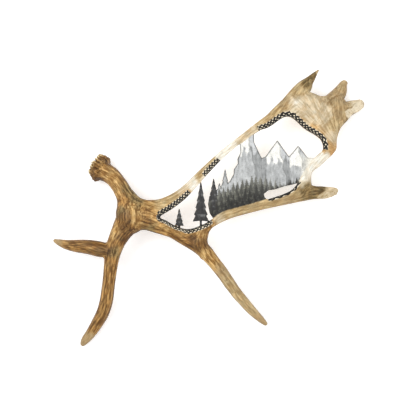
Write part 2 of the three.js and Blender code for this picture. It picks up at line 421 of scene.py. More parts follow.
@dataclass(frozen=True)
class Limb:
    """Branch carried along a smooth line: stations are x, y, z and half width, thick end first.

    Its height is a share of its width that passes from depth[0] at the thick end to depth[1].
    """

    name: str
    stations: Rows
    depth: tuple[float, float]
    seed: int
    worn_tip: float = 0.0  # mm of smooth, pale tip
    furrow: float = 1.0  # strength of the gutters
    per_span: int = 5
    margin: float = 12.0  # mm round a stretch where its distance is worked out

    def line(self) -> dict[str, np.ndarray]:
        """Centre line as a smooth curve.

        Returns:
            Points of the line with radius, flatness, unit vectors across and over, and length.
        """
        rows = smooth_rows(self.stations, self.per_span)
        centre, radius = rows[:, :3], rows[:, 3]
        along = unit(np.gradient(centre, axis=0))
        across = unit(np.cross([0.0, 0.0, 1.0], along))
        over = np.cross(along, across)
        t = np.linspace(0, 1, len(rows))
        flat = self.depth[0] + (self.depth[1] - self.depth[0]) * np.minimum(1, 1.6 * t)
        steps = np.linalg.norm(np.diff(centre, axis=0), axis=1)
        length = np.concatenate([[0.0], np.cumsum(steps)])
        return {
            "centre": centre,
            "radius": radius,
            "flat": flat,
            "across": across,
            "over": over,
            "length": length,
        }

    def join_to(self, cells: Cells) -> None:
        """Adds the limb to the box.

        The distance to a stretch is that to its axis, with the upright share divided by the
        flatness, less the radius, which changes in a straight line along the stretch.

        Args:
            cells: the box.
        """
        line = self.line()
        centre, radius = line["centre"], line["radius"]
        reach = radius.max() + FAR
        box = cells.part(centre.min(axis=0) - reach, centre.max(axis=0) + reach)
        if box is None:
            return
        own = np.full_like(cells.values[box], FAR)
        origin = [s.start for s in box]
        for i in range(len(centre) - 1):
            a, b = centre[i], centre[i + 1]
            margin = max(radius[i], radius[i + 1]) + self.margin
            part = cells.part(np.minimum(a, b) - margin, np.maximum(a, b) + margin)
            if part is None:
                continue
            x, y, z = cells.grid(part)
            axis = b - a
            length = float(np.linalg.norm(axis))
            axis = axis / length
            s = (x - a[0]) * axis[0] + (y - a[1]) * axis[1] + (z - a[2]) * axis[2]
            t = np.clip(s / length, 0.0, 1.0)
            beyond = s - t * length
            side = line["across"][i]
            w = (x - a[0]) * side[0] + (y - a[1]) * side[1] + (z - a[2]) * side[2]
            top = line["over"][i]
            h = (x - a[0]) * top[0] + (y - a[1]) * top[1] + (z - a[2]) * top[2]
            flat = line["flat"][i]
            r = radius[i] + t * (radius[i + 1] - radius[i])
            d = (np.sqrt(w**2 + (h / flat) ** 2 + beyond**2) - r) * (0.5 + 0.5 * flat)
            inner = tuple(slice(p.start - o, p.stop - o) for p, o in zip(part, origin))
            own[inner] = np.minimum(own[inner], d)
        cells.values[box] = np.minimum(cells.values[box], own)

    def follow(self, points: np.ndarray) -> dict[str, np.ndarray]:
        """Where points lie on the limb, by the stretch whose skin is nearest.

        Args:
            points: places in mm.

        Returns:
            Gap to the skin, length from the thick end and to the tip, and way across and
            over, each an array.
        """
        line = self.line()
        centre = line["centre"]
        best = np.full(len(points), 1e9)
        result = {k: np.zeros(len(points)) for k in ("arc", "side", "top")}
        for i in range(len(centre) - 1):
            axis = centre[i + 1] - centre[i]
            length = float(np.linalg.norm(axis))
            axis = axis / length
            offset = points - centre[i]
            s = offset @ axis
            t = np.clip(s / length, 0, 1)
            w = offset @ line["across"][i]
            h = offset @ line["over"][i] / line["flat"][i]
            r = line["radius"][i] + t * (line["radius"][i + 1] - line["radius"][i])
            d = np.sqrt(w**2 + h**2 + (s - t * length) ** 2) - r
            nearer = d < best
            best = np.where(nearer, d, best)
            arc = line["length"][i] + t * length
            for key, value in (("arc", arc), ("side", w), ("top", h)):
                result[key] = np.where(nearer, value, result[key])
        result["gap"] = best
        result["left"] = line["length"][-1] - result["arc"]
        return result


@dataclass(frozen=True)
class Burr:
    """Knobbly collar at the cast end, turned about the way its base faces."""

    centre: Triple = (-181, 241.8, 30.2)
    facing: Triple = (-0.45, 0.852, -0.26)
    profile: Rows = (
        (-26, 18, 0.3),
        (-17, 20.5, 0.9),
        (-12, 25.5, 2.0),
        (-8, 30.4, 2.6),
        (-4, 29.2, 3.2),
        (2, 27.2, 3.4),
        (7, 26.0, 3.2),
        (12, 25.4, 2.6),
        (16, 24.6, 2.2),
    )  # distance towards the base, radius, height of the crests
    crests: int = 18
    skew: float = 0.16  # sideways shift of the axis for each millimetre past its start
    skew_start: float = -8.0  # distance towards the base
    base: float = 12.0  # distance of the base's face
    dish: float = 1.2  # depth of its middle
    rough: float = 1.3  # height of its grains
    rim: float = 2.3  # how far the crests reach past it
    back: float = -24.0  # distance where the collar ends in the beam
    reach: float = 46.0  # half side of the block it is worked out in

    def axes(self) -> tuple[np.ndarray, np.ndarray, np.ndarray]:
        """Axes of the collar.

        Returns:
            Unit vectors along the facing, across it and over it.
        """
        facing = unit(np.array(self.facing))
        across = unit(np.cross([0.0, 0.0, 1.0], facing))
        return facing, across, np.cross(facing, across)

    def measure(self, points: np.ndarray) -> tuple[np.ndarray, np.ndarray, np.ndarray]:
        """Places of points about the collar.

        Args:
            points: places in mm.

        Returns:
            Distance along the facing, radius from the axis and angle about it.
        """
        facing, across, over = self.axes()
        offset = points - np.array(self.centre)
        s, w, h = offset @ facing, offset @ across, offset @ over
        w = w + self.skew * np.maximum(s - self.skew_start, 0.0)
        return s, np.hypot(w, h), np.arctan2(h, w)

    def knobs(self, s: np.ndarray, angle: np.ndarray) -> np.ndarray:
        """Height of the crests: uneven waves round the collar, broken into pearls.

        The angle is bent by two slow waves first, so that no two crests are alike.

        Args:
            s: distance along the facing.
            angle: angle about the axis.

        Returns:
            Heights from about -1 to 1.
        """
        bent = angle + 0.12 * np.sin(3 * angle + 1.0) + 0.08 * np.sin(7 * angle + 2.0)
        wave = np.clip(1.5 * np.sin(self.crests * bent + 0.08 * s), -1, 1)
        around = np.stack([5.0 * np.cos(angle), 5.0 * np.sin(angle), s / 6.5], axis=1)
        rough = Noise(41).fractal(around, 2)
        pearl = 1 - 2 * np.abs(Noise(43).at(around * 1.7)) ** 0.7
        return np.clip(0.45 * wave + 0.85 * rough + 0.5 * pearl, -1.3, 1.2)

    def melt_into(self, cells: Cells, width: float) -> None:
        """Adds the collar to the box: radius less the profile's radius at that distance.

        Args:
            cells: the box.
            width: width of the melted seam with the beam, in mm.
        """
        centre = np.array(self.centre)
        box = cells.part(centre - self.reach, centre + self.reach)
        if box is None:
            return
        x, y, z = np.broadcast_arrays(*cells.grid(box))
        points = np.stack([x.ravel(), y.ravel(), z.ravel()], axis=1).astype(float)
        s, radius, angle = self.measure(points)
        rows = smooth_rows(self.profile, 6)
        base = np.interp(s, rows[:, 0], rows[:, 1])
        crest = np.interp(s, rows[:, 0], rows[:, 2])
        knobs = self.knobs(s, angle)
        d = (radius - base - crest * knobs) * 0.8
        face = self.base - self.dish * ramp(radius, 14.0, 4.0)
        face = face + self.rough * Noise(7).fractal(points / 3.6, 2)
        face = face + self.rim * ramp(radius, 15.0, 21.0) * np.clip(knobs, -1, 0.9)
        d = np.maximum(d, (s - face) * 0.85)
        d = np.maximum(d, self.back - s).reshape(x.shape)
        cells.values[box] = melt(cells.values[box], d.astype(np.float32), width)


@dataclass(frozen=True)
class Blade:
    """Palm as lens-like ribs across it: x, lower y, upper y, crest z, thickness, sag."""

    ribs: Rows = (
        (-152, 70, 123, 86, 42, 3),
        (-126, 32, 123.5, 88, 35, 5),
        (-100, 0, 111, 91, 27, 8),
        (-75, -14, 106, 93, 22, 11),
        (-48, -13, 106, 95, 19, 13),
        (-20, -8, 111, 97, 17, 14),
        (20, -10, 121, 99, 15, 14),
        (80, -24.8, 134, 99, 15, 15),
        (140, -42.8, 143, 97, 15, 16),
        (180, -52, 149, 94, 16, 16),
        (206, -48, 152, 91, 17, 16),
        (219, -44, 154.5, 89.5, 17, 16),
        (228, -25, 157, 88, 17, 16),
        (240, -12, 160, 86, 17, 16),
        (261, -9.5, 165.5, 81, 16.5, 15.5),
        (278, -6, 168, 77, 16, 15),
        (305, 1, 162, 69, 15, 13),
        (316, 8, 157, 65.5, 14.5, 12),
        (325, 22, 152.5, 62, 14, 11),
        (334, 32, 142.5, 58.5, 13.5, 9.5),
        (345, 41, 129.5, 54, 13, 8),
        (357, 46, 124.5, 49.5, 12.5, 7),
        (368, 49, 121, 45, 12, 6),
        (390, 57, 100, 34, 10, 3),
    )

    def across(self, x: np.ndarray, y: np.ndarray) -> dict[str, np.ndarray]:
        """Lens of the blade at plan points.

        The middle surface falls from the crest by the sag times the share squared.

        Args:
            x: coordinates of the points.
            y: coordinates of the points.

        Returns:
            Share of the half width, height of the middle surface, and thickness.
        """
        rows = smooth_rows(self.ribs, 8)
        low, high, crest, thick, sag = (np.interp(x, rows[:, 0], rows[:, k]) for k in range(1, 6))
        half = (high - low) / 2
        side = (y - (low + high) / 2) / half
        level = crest - sag * np.clip(side, -1.3, 1.3) ** 2
        return {"side": side, "middle": level, "thick": thick}

    def join_to(self, cells: Cells) -> None:
        """Adds the blade: the power sum of both shares of its lens, scaled to a distance.

        Args:
            cells: the box.
        """
        first, last = self.ribs[0][0], self.ribs[-1][0]
        box = cells.part(np.array([first - 4, -90, 0]), np.array([last + 10, 200, 125]))
        if box is None:
            return
        x, y, z = cells.grid(box)
        lens = self.across(x[:, :, 0], y[:, :, 0])
        side = np.abs(lens["side"])[:, :, None]
        rise = (z - lens["middle"][:, :, None]) / (lens["thick"][:, :, None] / 2)
        power = (np.maximum(side, 1e-4) ** 2.6 + np.maximum(np.abs(rise), 1e-4) ** 3.0) ** (1 / 2.8)
        raw = ((power - 1) * lens["thick"][:, :, None] / 2).astype(np.float32)
        slopes = np.gradient(raw, cells.step)
        size = np.sqrt(sum(g**2 for g in slopes))
        d = raw / np.clip(size, 0.12, 4.0)
        d = np.where(side > 1.6, FAR, d)
        d = np.maximum(d, np.maximum(first - x, x - last))
        d = np.clip(d, -FAR, FAR)
        cells.values[box] = np.minimum(cells.values[box], d.astype(np.float32))


# ---------------------------------------------------------------------------
# Landscape in the palm
# ---------------------------------------------------------------------------


@dataclass(frozen=True)
class Landscape:
    """Pierced landscape in the palm's opening, drawn upright as [right, up] in millimetres."""

    turn: float = -30.0  # degrees from the drawing to the palm
    origin: tuple[float, float] = (86, 55)
    plate: float = 7.0  # thickness
    opening: Rows = (
        (-113, 73), (-80, 75), (-45, 79.5), (-10, 90), (40, 106.5), (90, 120), (148, 129),
        (178, 130.5), (204, 126), (240, 129), (256, 123), (264, 108), (272, 82), (288, 54),
        (292, 38), (285, 20), (262, 14), (224, -1), (187, -21), (160, -23), (116, -14),
        (66, -2), (20, 10), (-10, 9.5), (-40, 9.5), (-72, 17), (-92, 36), (-105, 58),
    )
    skies: tuple[Rows, ...] = (
        (
            (-190, -80), (-150, -45), (-110, -10), (-60, 40), (-13, 76), (-1, 84), (1, 62),
            (-6, 47), (-5, 37), (-14, 24), (-15, 12), (-24, -4), (-40, -18), (-57, -24),
            (-70, -38), (-73, -56), (-69, -76), (-60, -89), (-66, -97), (-82, -108),
            (-110, -118), (-140, -118), (-176, -92),
        ),
        (
            (32, 104), (48, 114), (77, 134), (109, 150), (138, 130), (162, 113), (186, 98),
            (194, 77), (188, 60), (168, 50), (154, 51), (143, 65), (132, 78), (121, 64),
            (111, 53), (100, 68), (85, 90), (70, 70), (58, 53), (49, 49), (40, 68), (32, 85),
        ),
        (
            (137, -6), (131, -17), (124, -28), (91, -38), (64, -46), (56, -40), (54, -32),
            (64, -24), (79, -22), (100, -15), (118, -11),
        ),
    )
    spruces: Rows = (
        (-89, -93, 94, 19, 6), (-138, -104, 42, 11, 4), (-60, -45, 52, 12, 4),
        (-34, -30, 58, 13, 4), (-47, -38, 34, 9, 3),
    )  # right, foot, height, half width, tiers of boughs
    trunk: tuple[float, float] = (5, 22)  # width, height
    near_end: float = -52.0  # the spruces to the left of this stand in front
    peaks: Rows = ((15, 112, 1.15), (85, 92, 1.25), (132, 80, 1.15), (48, 60, 0.9))
    # Runs of the border: start and end along the opening's edge, width, length of a link.
    border: Rows = (
        (0, 89, 13, 8.8), (138, 188, 12.5, 8.6), (299, 490, 13, 9.4), (584, 668, 6, 9.3),
        (806, 870, 11, 8.4), (870, 934.6, 8.4, 8),
    )
    # Rows of trees from the back one: lift of their foot, height, half width, spacing, grey.
    trees: Rows = (
        (46, 24, 7.5, 10.5, 98),
        (32, 25, 8.0, 11.5, 70),
        (17, 26, 8.5, 12.5, 46),
        (3, 24, 9.0, 13.5, 34),
    )

    def edge(self) -> np.ndarray:
        """Outline of the opening in the palm's plan, smoothed.

        Returns:
            Corners in order; the last joins the first.
        """
        rows = np.array(self.opening, dtype=float)
        looped = np.vstack([rows[-2:], rows, rows[:2]])
        return smooth_rows(tuple(map(tuple, looped)), 6)[12:-7]

    def to_drawing(self, x: np.ndarray, y: np.ndarray) -> tuple[np.ndarray, np.ndarray]:
        """Turns plan points into the drawing's frame.

        Args:
            x: coordinates in the palm's plan.
            y: coordinates in the palm's plan.

        Returns:
            Distance to the right and height in the drawing.
        """
        c, s = math.cos(math.radians(self.turn)), math.sin(math.radians(self.turn))
        dx, dy = x - self.origin[0], y - self.origin[1]
        return dx * c + dy * s, -dx * s + dy * c

    def spruce(self, row: tuple[float, ...]) -> np.ndarray:
        """Outline of a spruce: drooping tiers of boughs that narrow to the top, on a trunk.

        Args:
            row: right, foot, height, half width and tiers of boughs.

        Returns:
            Corners in order.
        """
        u, foot, height, half, tiers = row
        right = [(self.trunk[0] / 2, -self.trunk[1]), (self.trunk[0] / 2, 0.0)]
        for k in range(int(tiers)):
            taper = 1 - k / tiers
            right.append((half * taper, height * (k / tiers - 0.02)))
            right.append((half * (taper - 0.8 / tiers) * 0.75, height * ((k + 0.75) / tiers)))
        left = [(-a, b) for a, b in right][::-1]
        return np.array([*right, (0.0, height), *left]) + [u, foot]

    def windows(self, x: np.ndarray, y: np.ndarray) -> tuple[np.ndarray, np.ndarray]:
        """Distance to the windows and to the opening, each less than zero inside.

        The windows are the skies without the spruces that stand in them.

        Args:
            x: coordinates in the palm's plan.
            y: coordinates in the palm's plan.

        Returns:
            Both distances in mm.
        """
        u, v = self.to_drawing(x, y)
        skies = np.full(x.shape, 1e3)
        for sky in self.skies:
            skies = np.minimum(skies, outline_distance(u, v, np.array(sky, dtype=float))[0])
        for row in self.spruces:
            skies = np.maximum(skies, -outline_distance(u, v, self.spruce(row))[0])
        hole = outline_distance(x, y, self.edge())[0]
        return np.maximum(skies, hole), hole

    def ridge(self, u: np.ndarray, v: np.ndarray) -> tuple[np.ndarray, np.ndarray]:
        """Place of points about the ridge of their peak.

        A point belongs to the peak whose sloping tent stands highest over it; the ridge runs
        down from the summit in a leaning zigzag.

        Args:
            u: distance to the right.
            v: height.

        Returns:
            Distance from the ridge, less than zero to its left, and depth below the summit.
        """
        tents = np.stack([top - slope * np.abs(u - at) for at, top, slope in self.peaks])
        which = tents.argmax(axis=0)
        at = np.array([p[0] for p in self.peaks])[which]
        top = np.array([p[1] for p in self.peaks])[which]
        below = top - v
        bend = 0.22 * below + 4.0 * np.abs(((below / 17.0 + at) % 2.0) - 1.0) - 2.0
        return u - at - bend, below

    def tree_row(self, u: np.ndarray, v: np.ndarray, k: int) -> tuple[np.ndarray, np.ndarray]:
        """One row of spruces: how far each point is inside its tree, and the lit side.

        Each tree's half width falls to nothing at its top and is notched by five tiers of
        boughs; its middle and height are moved a little by a random number of its own.

        Args:
            u: distance to the right.
            v: height.
            k: number of the row, the back one first.

        Returns:
            Depth inside the nearest tree or the ground under it, in mm, and -1 (left) to 1.
        """
        lift, tall, half, pitch, _ = self.trees[k]
        depth = np.full(u.shape, -99.0)
        lit = np.zeros(u.shape)
        for step in (-1, 0, 1):
            number = np.floor(u / pitch + 0.37 * k) + step
            jitter = Noise(90 + k).corner(
                np.stack([number, 0 * number, 0 * number], axis=1).astype(np.int64)
            )
            middle = (number + 0.5 - 0.37 * k + 0.35 * (jitter - 0.5)) * pitch
            foot = -70 + 0.37 * middle + lift * (1 - ramp(middle, 30.0, 110.0))
            height = tall * (0.8 + 0.45 * jitter)
            t = (v - foot) / height
            notch = 1 - 0.42 * ((5 * t) % 1.0)
            inside = half * np.clip(1 - t, 0, 1.15) * notch - np.abs(u - middle)
            inside = np.where(t < 0, 4.0, inside)
            nearer = inside > depth
            depth = np.where(nearer, inside, depth)
            lit = np.where(nearer, np.clip((u - middle) / half, -1, 1), lit)
        return depth, lit

    def relief(self, u: np.ndarray, v: np.ndarray) -> np.ndarray:
        """Height of the carving over the plate, from about -0.8 to 1.5 mm.

        Mountain flanks fall away from their ridge, and each row of trees stands in front of
        the one behind it, every tree rounded.

        Args:
            u: distance to the right.
            v: height.

        Returns:
            Heights in mm.
        """
        side, below = self.ridge(u, v)
        flank = 1.5 - 0.13 * np.abs(side) + 0.3 * np.sin(side / 3.1 + below / 9.0)
        height = np.clip(flank, -0.8, 1.5)
        for k in range(len(self.trees)):
            depth, lit = self.tree_row(u.ravel(), v.ravel(), k)
            tree = (0.15 + 0.35 * k - 0.7 * lit**2).reshape(u.shape)
            height = np.where(depth.reshape(u.shape) > 0, tree, height)
        return height


# ---------------------------------------------------------------------------
# The antler
# ---------------------------------------------------------------------------


@dataclass(frozen=True)
class BevelledEnd:
    """Flat slanting face sawn off the end of a point: a place on it and the way it faces."""

    at: Triple
    facing: Triple
    pale: Triple
    reach: float

    def cut(self, cells: Cells) -> None:
        """Takes away what lies in front of the face, within its reach.

        Args:
            cells: the box.
        """
        at, facing = np.array(self.at), unit(np.array(self.facing))
        box = cells.part(at - self.reach, at + self.reach)
        if box is None:
            return
        x, y, z = cells.grid(box)
        front = (x - at[0]) * facing[0] + (y - at[1]) * facing[1] + (z - at[2]) * facing[2]
        cells.values[box] = np.maximum(cells.values[box], front.astype(np.float32))

    def bare(self, points: np.ndarray, colour: np.ndarray) -> np.ndarray:
        """Colours with the sawn face pale and finely pitted, within a millimetre of its plane.

        Args:
            points: places on the skin.
            colour: colours there.

        Returns:
            The colours, pale on the face.
        """
        offset = points - np.array(self.at)
        front = offset @ unit(np.array(self.facing))
        near = (np.linalg.norm(offset, axis=1) < self.reach) & (points[:, 2] > 4)
        share = ramp(np.abs(front), 1.5, 0.6) * near
        pits = ramp(Noise(57).fractal(points / 2.6, 3), 0.0, 0.6)[:, None]
        broad = Noise(58).fractal(points / 9.0, 2)[:, None]
        pale = np.array(self.pale) - pits * [40.0, 50.0, 62.0] + broad * 16.0
        return tint(colour, pale, 0.9 * share)


@dataclass(frozen=True)
class SawCut:
    """Plane at a fork, and the block beyond it that takes one branch and nothing else."""

    at: Triple
    away: Triple
    half: float
    length: float

    def beyond(self, points: np.ndarray) -> np.ndarray:
        """Tells which points lie in the block.

        Args:
            points: places in mm.

        Returns:
            True for each point in it.
        """
        away = unit(np.array(self.away))
        offset = points - np.array(self.at)
        s = offset @ away
        one, two = self.sides()
        return (
            (s > 0)
            & (s < self.length)
            & (np.abs(offset @ one) < self.half)
            & (np.abs(offset @ two) < self.half)
        )

    def sides(self) -> tuple[np.ndarray, np.ndarray]:
        """Ways across the block.

        Returns:
            Two unit vectors, square to each other and to the way through it.
        """
        away = Vector(self.away).normalized()
        turn = Vector((0, 0, 1)).rotation_difference(away)
        return np.array(turn @ Vector((1, 0, 0))), np.array(turn @ Vector((0, 1, 0)))


SIDE_CUT = SawCut((-262, 71, 72), (-0.78, 0.62, -0.08), 60, 140)
REAR_CUT = SawCut((-70, -38, 78), (0.22, -0.96, -0.15), 75, 300)
BROW_CUT = SawCut((-203, 88, 79), (-0.84, -0.53, -0.1), 170, 330)
PALM_CUT = SawCut((-122, 84, 88), (0.99, -0.14, 0.02), 260, 620)

BEAM = Limb(
    "beam",
    (
        (-180.5, 238, 31.5, 20.5), (-174, 228, 38, 21.4), (-166, 214, 47, 20.5),
        (-161, 198, 57, 19.5), (-158.5, 177, 68, 19.6), (-158.5, 156, 76, 20.6),
        (-160, 143, 80, 23), (-162.5, 129.5, 83, 27.2), (-171, 107, 84, 34),
        (-184, 100, 82, 27), (-197, 92, 80, 20),
    ),
    (0.98, 0.7),
    seed=3,
)
BROW = Limb(
    "brow",
    (
        (-160, 116, 84, 28), (-182, 101, 82, 29), (-204, 89, 79, 24.5), (-226.5, 74.8, 76, 21),
        (-246, 59, 73, 19.4), (-260, 42.5, 70, 17), (-283.5, 12, 62, 15), (-300.5, -10, 54, 15),
        (-320.5, -34, 42, 15.4), (-342, -53, 31, 14.8), (-366.5, -67.5, 21, 13.5),
        (-390, -79.5, 14, 12), (-409, -87, 9, 9.8), (-419.6, -92, 4.8, 6.2),
    ),
    (0.7, 0.9),
    seed=5,
    worn_tip=45,
)
BROW_SIDE = Limb(
    "brow_side",
    (
        (-257, 65, 72, 13), (-262, 71, 72.5, 16.5), (-270, 78, 72, 18), (-286, 92, 68, 17),
        (-301, 103, 63, 15.8), (-316, 113, 57, 14.2), (-332, 125, 50, 11.4),
        (-345, 138, 43, 7.8), (-352.5, 147, 39, 4.2),
    ),
    (0.84, 0.84),
    seed=7,
    worn_tip=48,
)
REAR = Limb(
    "rear",
    (
        (-127, 74, 90, 14), (-109, 42, 90, 16.5), (-90, 8, 86, 18), (-73, -22, 81, 18.5),
        (-64.5, -48, 75, 17), (-60, -73, 69, 15.2), (-56, -102, 60, 14.2),
        (-53, -136, 49, 13.4), (-50, -166, 39, 12.8), (-45.5, -192, 30, 12),
        (-41, -216, 21, 11), (-36, -236, 14, 9.2), (-31, -254, 7.6, 7), (-28, -264.4, 4, 5),
    ),
    (0.62, 0.9),
    seed=9,
    worn_tip=60,
)
BROW_WEB = Limb(
    "brow_web",
    (
        (-202, 104, 79, 12), (-186, 99, 82, 20), (-166, 93, 85, 23), (-145, 81, 87, 21.6),
        (-126, 58, 89, 19), (-110, 36, 90, 15),
    ),
    (0.7, 0.7),
    seed=11,
)
BEAM_WEB = Limb(
    "beam_web",
    ((-160, 182, 67, 15), (-152, 151, 76, 16), (-141, 126, 84, 12.8), (-118, 103, 90, 12.4)),
    (0.9, 0.7),
    seed=13,
)
REAR_WEB = Limb(
    "rear_web",
    ((-16, 3, 95, 8), (-42, -3, 92, 13), (-62, -22, 86, 16), (-67, -52, 76, 15)),
    (0.6, 0.8),
    seed=15,
)
POINT_WEB = Limb(
    "point_web",
    ((206, -35, 76, 8), (216, -41, 74, 7), (225, -47.5, 71, 6), (237, -57, 67, 5)),
    (0.6, 0.6),
    seed=25,
)
POINTS = (
    Limb(
        "first_point",
        (
            (276, 146, 66, 23.5), (302, 159, 57, 19.6), (322, 166, 48, 17.3),
            (336, 171.7, 41.5, 11.8), (347, 175.6, 35, 8.8), (361, 181, 27, 5.2),
            (373.2, 185, 20, 2),
        ),
        (0.42, 0.5),
        seed=17,
        worn_tip=20,
        furrow=0.5,
    ),
    Limb(
        "second_point",
        (
            (312, 88, 62, 32), (341, 96.5, 50, 27), (368, 106.6, 36, 19.8), (390, 115.4, 20.5, 16),
            (406.5, 126.6, 9, 9.6), (414, 129.6, 3, 7.2),
        ),
        (0.42, 0.5),
        seed=19,
        worn_tip=34,
        furrow=0.5,
    ),
    Limb(
        "third_point",
        (
            (312, 76, 62, 26), (340, 75, 49, 24), (371, 74, 36, 20.8), (391, 72, 27, 17),
            (407, 69.2, 21, 14.4), (417, 68, 16.5, 12),
        ),
        (0.42, 0.5),
        seed=21,
        furrow=0.5,
    ),
    Limb(
        "fourth_point",
        (
            (60, -9, 90, 7), (100, -21, 86, 9), (146, -33, 80, 12), (187, -44, 74, 14.5),
            (218, -55, 67, 14.8), (244, -70, 60, 14.2), (259, -79, 56, 12.8),
        ),
        (0.42, 0.5),
        seed=23,
        furrow=0.6,
    ),
)


class Tone(Enum):
    """Tones of antler skin as (light, dark) pairs of display colours."""

    GOLD = ((232, 194, 130), (126, 88, 38))
    OLIVE = ((164, 138, 90), (78, 60, 28))
    BROWN = ((194, 150, 88), (94, 62, 22))
    UMBER = ((146, 108, 58), (70, 44, 16))
    TAN = ((210, 186, 140), (148, 122, 80))
    DUN = ((192, 166, 122), (134, 108, 70))
    SAND = ((226, 210, 180), (184, 162, 126))
    CREAM = ((250, 246, 234), (216, 206, 184))
    RUST = ((218, 182, 128), (162, 118, 66))


# Where each tone sits on the antler, seen in plan: x, y, reach in mm, tone.
TONES: tuple[tuple[float, float, float, Tone], ...] = (
    (-180, 246, 20, Tone.BROWN),
    (-200, 231, 9, Tone.UMBER),
    (-195, 221, 9, Tone.UMBER),
    (-170, 229, 14, Tone.GOLD),
    (-164, 205, 14, Tone.GOLD),
    (-166, 182, 12, Tone.GOLD),
    (-180, 148, 8, Tone.BROWN),
    (-180, 129, 7, Tone.OLIVE),
    (-160, 147, 9, Tone.BROWN),
    (-139, 190, 8, Tone.BROWN),
    (-143, 163, 9, Tone.OLIVE),
    (-144, 143, 9, Tone.OLIVE),
    (-141, 130, 9, Tone.OLIVE),
    (-168, 140, 7, Tone.BROWN),
    (-157, 124, 9, Tone.GOLD),
    (-157, 106, 9, Tone.GOLD),
    (-166, 90, 8, Tone.GOLD),
    (-184, 110, 9, Tone.UMBER),
    (-190, 88, 12, Tone.UMBER),
    (-201, 76, 9, Tone.UMBER),
    (-214, 68, 8, Tone.UMBER),
    (-201, 110, 7, Tone.BROWN),
    (-216, 95, 8, Tone.GOLD),
    (-226, 88, 7, Tone.GOLD),
    (-239, 74, 9, Tone.BROWN),
    (-241, 57, 9, Tone.OLIVE),
    (-228, 52, 8, Tone.BROWN),
    (-252, 66, 8, Tone.UMBER),
    (-134, 100, 10, Tone.BROWN),
    (-120, 111, 9, Tone.GOLD),
    (-127, 86, 9, Tone.GOLD),
    (-146, 76, 7, Tone.UMBER),
    (-146, 62, 8, Tone.OLIVE),
    (-262, 72, 7, Tone.UMBER),
    (-265, 84, 8, Tone.BROWN),
    (-285, 95, 12, Tone.BROWN),
    (-315, 115, 12, Tone.BROWN),
    (-332, 129, 10, Tone.BROWN),
    (-348, 144, 10, Tone.DUN),
    (-262, 40, 10, Tone.BROWN),
    (-285, 11, 14, Tone.BROWN),
    (-311, -23, 12, Tone.BROWN),
    (-338, -51, 14, Tone.BROWN),
    (-372, -70, 12, Tone.BROWN),
    (-406, -84, 10, Tone.DUN),
    (-112, 51, 10, Tone.GOLD),
    (-129, 45, 8, Tone.BROWN),
    (-105, 18, 10, Tone.BROWN),
    (-86, 28, 8, Tone.GOLD),
    (-78, -11, 9, Tone.UMBER),
    (-90, 4, 9, Tone.BROWN),
    (-55, -8, 9, Tone.GOLD),
    (-47, -26, 7, Tone.UMBER),
    (-66, -31, 7, Tone.UMBER),
    (-65, -52, 9, Tone.GOLD),
    (-61, -76, 10, Tone.GOLD),
    (-56, -106, 10, Tone.DUN),
    (-52, -144, 12, Tone.TAN),
    (-47, -177, 12, Tone.TAN),
    (-41, -213, 12, Tone.TAN),
    (-33, -251, 10, Tone.DUN),
    (-92, 97, 10, Tone.TAN),
    (-64, 91, 9, Tone.TAN),
    (-38, 100, 8, Tone.SAND),
    (-33, 89, 5, Tone.RUST),
    (-82, 81, 8, Tone.GOLD),
    (-11, 100, 9, Tone.CREAM),
    (13, 110, 9, Tone.TAN),
    (21, 102, 7, Tone.CREAM),
    (52, 124, 9, Tone.TAN),
    (75, 126, 9, Tone.CREAM),
    (104, 133, 11, Tone.CREAM),
    (136, 138, 11, Tone.SAND),
    (163, 143, 10, Tone.SAND),
    (195, 146, 10, Tone.TAN),
    (212, 150, 7, Tone.DUN),
    (234, 152, 11, Tone.TAN),
    (260, 154, 10, Tone.DUN),
    (278, 133, 12, Tone.SAND),
    (305, 142, 10, Tone.SAND),
    (286, 143, 7, Tone.CREAM),
    (306, 166, 12, Tone.TAN),
    (336, 174, 10, Tone.OLIVE),
    (354, 180, 6, Tone.OLIVE),
    (371, 185, 6, Tone.TAN),
    (305, 110, 11, Tone.SAND),
    (330, 93, 11, Tone.SAND),
    (273, 102, 4.5, Tone.RUST),
    (289, 74, 4.5, Tone.RUST),
    (295, 47, 6, Tone.RUST),
    (362, 104, 8, Tone.DUN),
    (366, 74, 10, Tone.DUN),
    (383, 116, 9, Tone.DUN),
    (407, 127, 6, Tone.TAN),
    (412, 71, 8, Tone.SAND),
    (384, 62, 6, Tone.OLIVE),
    (340, 54, 10, Tone.TAN),
    (318, 35, 9, Tone.SAND),
    (300, 18, 9, Tone.RUST),
    (303, 1, 6, Tone.RUST),
    (280, 3, 7, Tone.CREAM),
    (257, 1, 8, Tone.CREAM),
    (233, -4, 8, Tone.CREAM),
    (215, -12, 8, Tone.CREAM),
    (206, -25, 6, Tone.SAND),
    (205, -40, 9, Tone.OLIVE),
    (229, -54, 9, Tone.OLIVE),
    (248, -73, 8, Tone.SAND),
    (262, -86, 5, Tone.TAN),
    (178, -35, 8, Tone.TAN),
    (156, -37, 9, Tone.DUN),
    (123, -27, 9, Tone.TAN),
    (89, -21, 9, Tone.TAN),
    (65, -9, 9, Tone.TAN),
    (30, -5, 8, Tone.TAN),
    (-1, -5, 8, Tone.SAND),
    (-15, -10, 7, Tone.GOLD),
    (-26, -12, 6, Tone.BROWN),
)


@dataclass(frozen=True)
class Paint:
    """Display colours of the painted landscape."""

    snow: Triple = (243, 242, 236)
    shade: Triple = (203, 205, 206)
    slate: Triple = (176, 178, 178)
    rock: Triple = (122, 124, 124)
    ink: Triple = (84, 86, 84)
    bone: Triple = (240, 235, 220)
    bough: Triple = (36, 36, 30)  # added where light falls


def linear(display: Triple | np.ndarray) -> np.ndarray:
    """Display colours from 0 to 255 turned into scene-linear ones."""
    c = np.clip(np.asarray(display, dtype=float) / 255.0, 0.0, 1.0)
    return np.where(c <= 0.04045, c / 12.92, ((c + 0.055) / 1.055) ** 2.4)


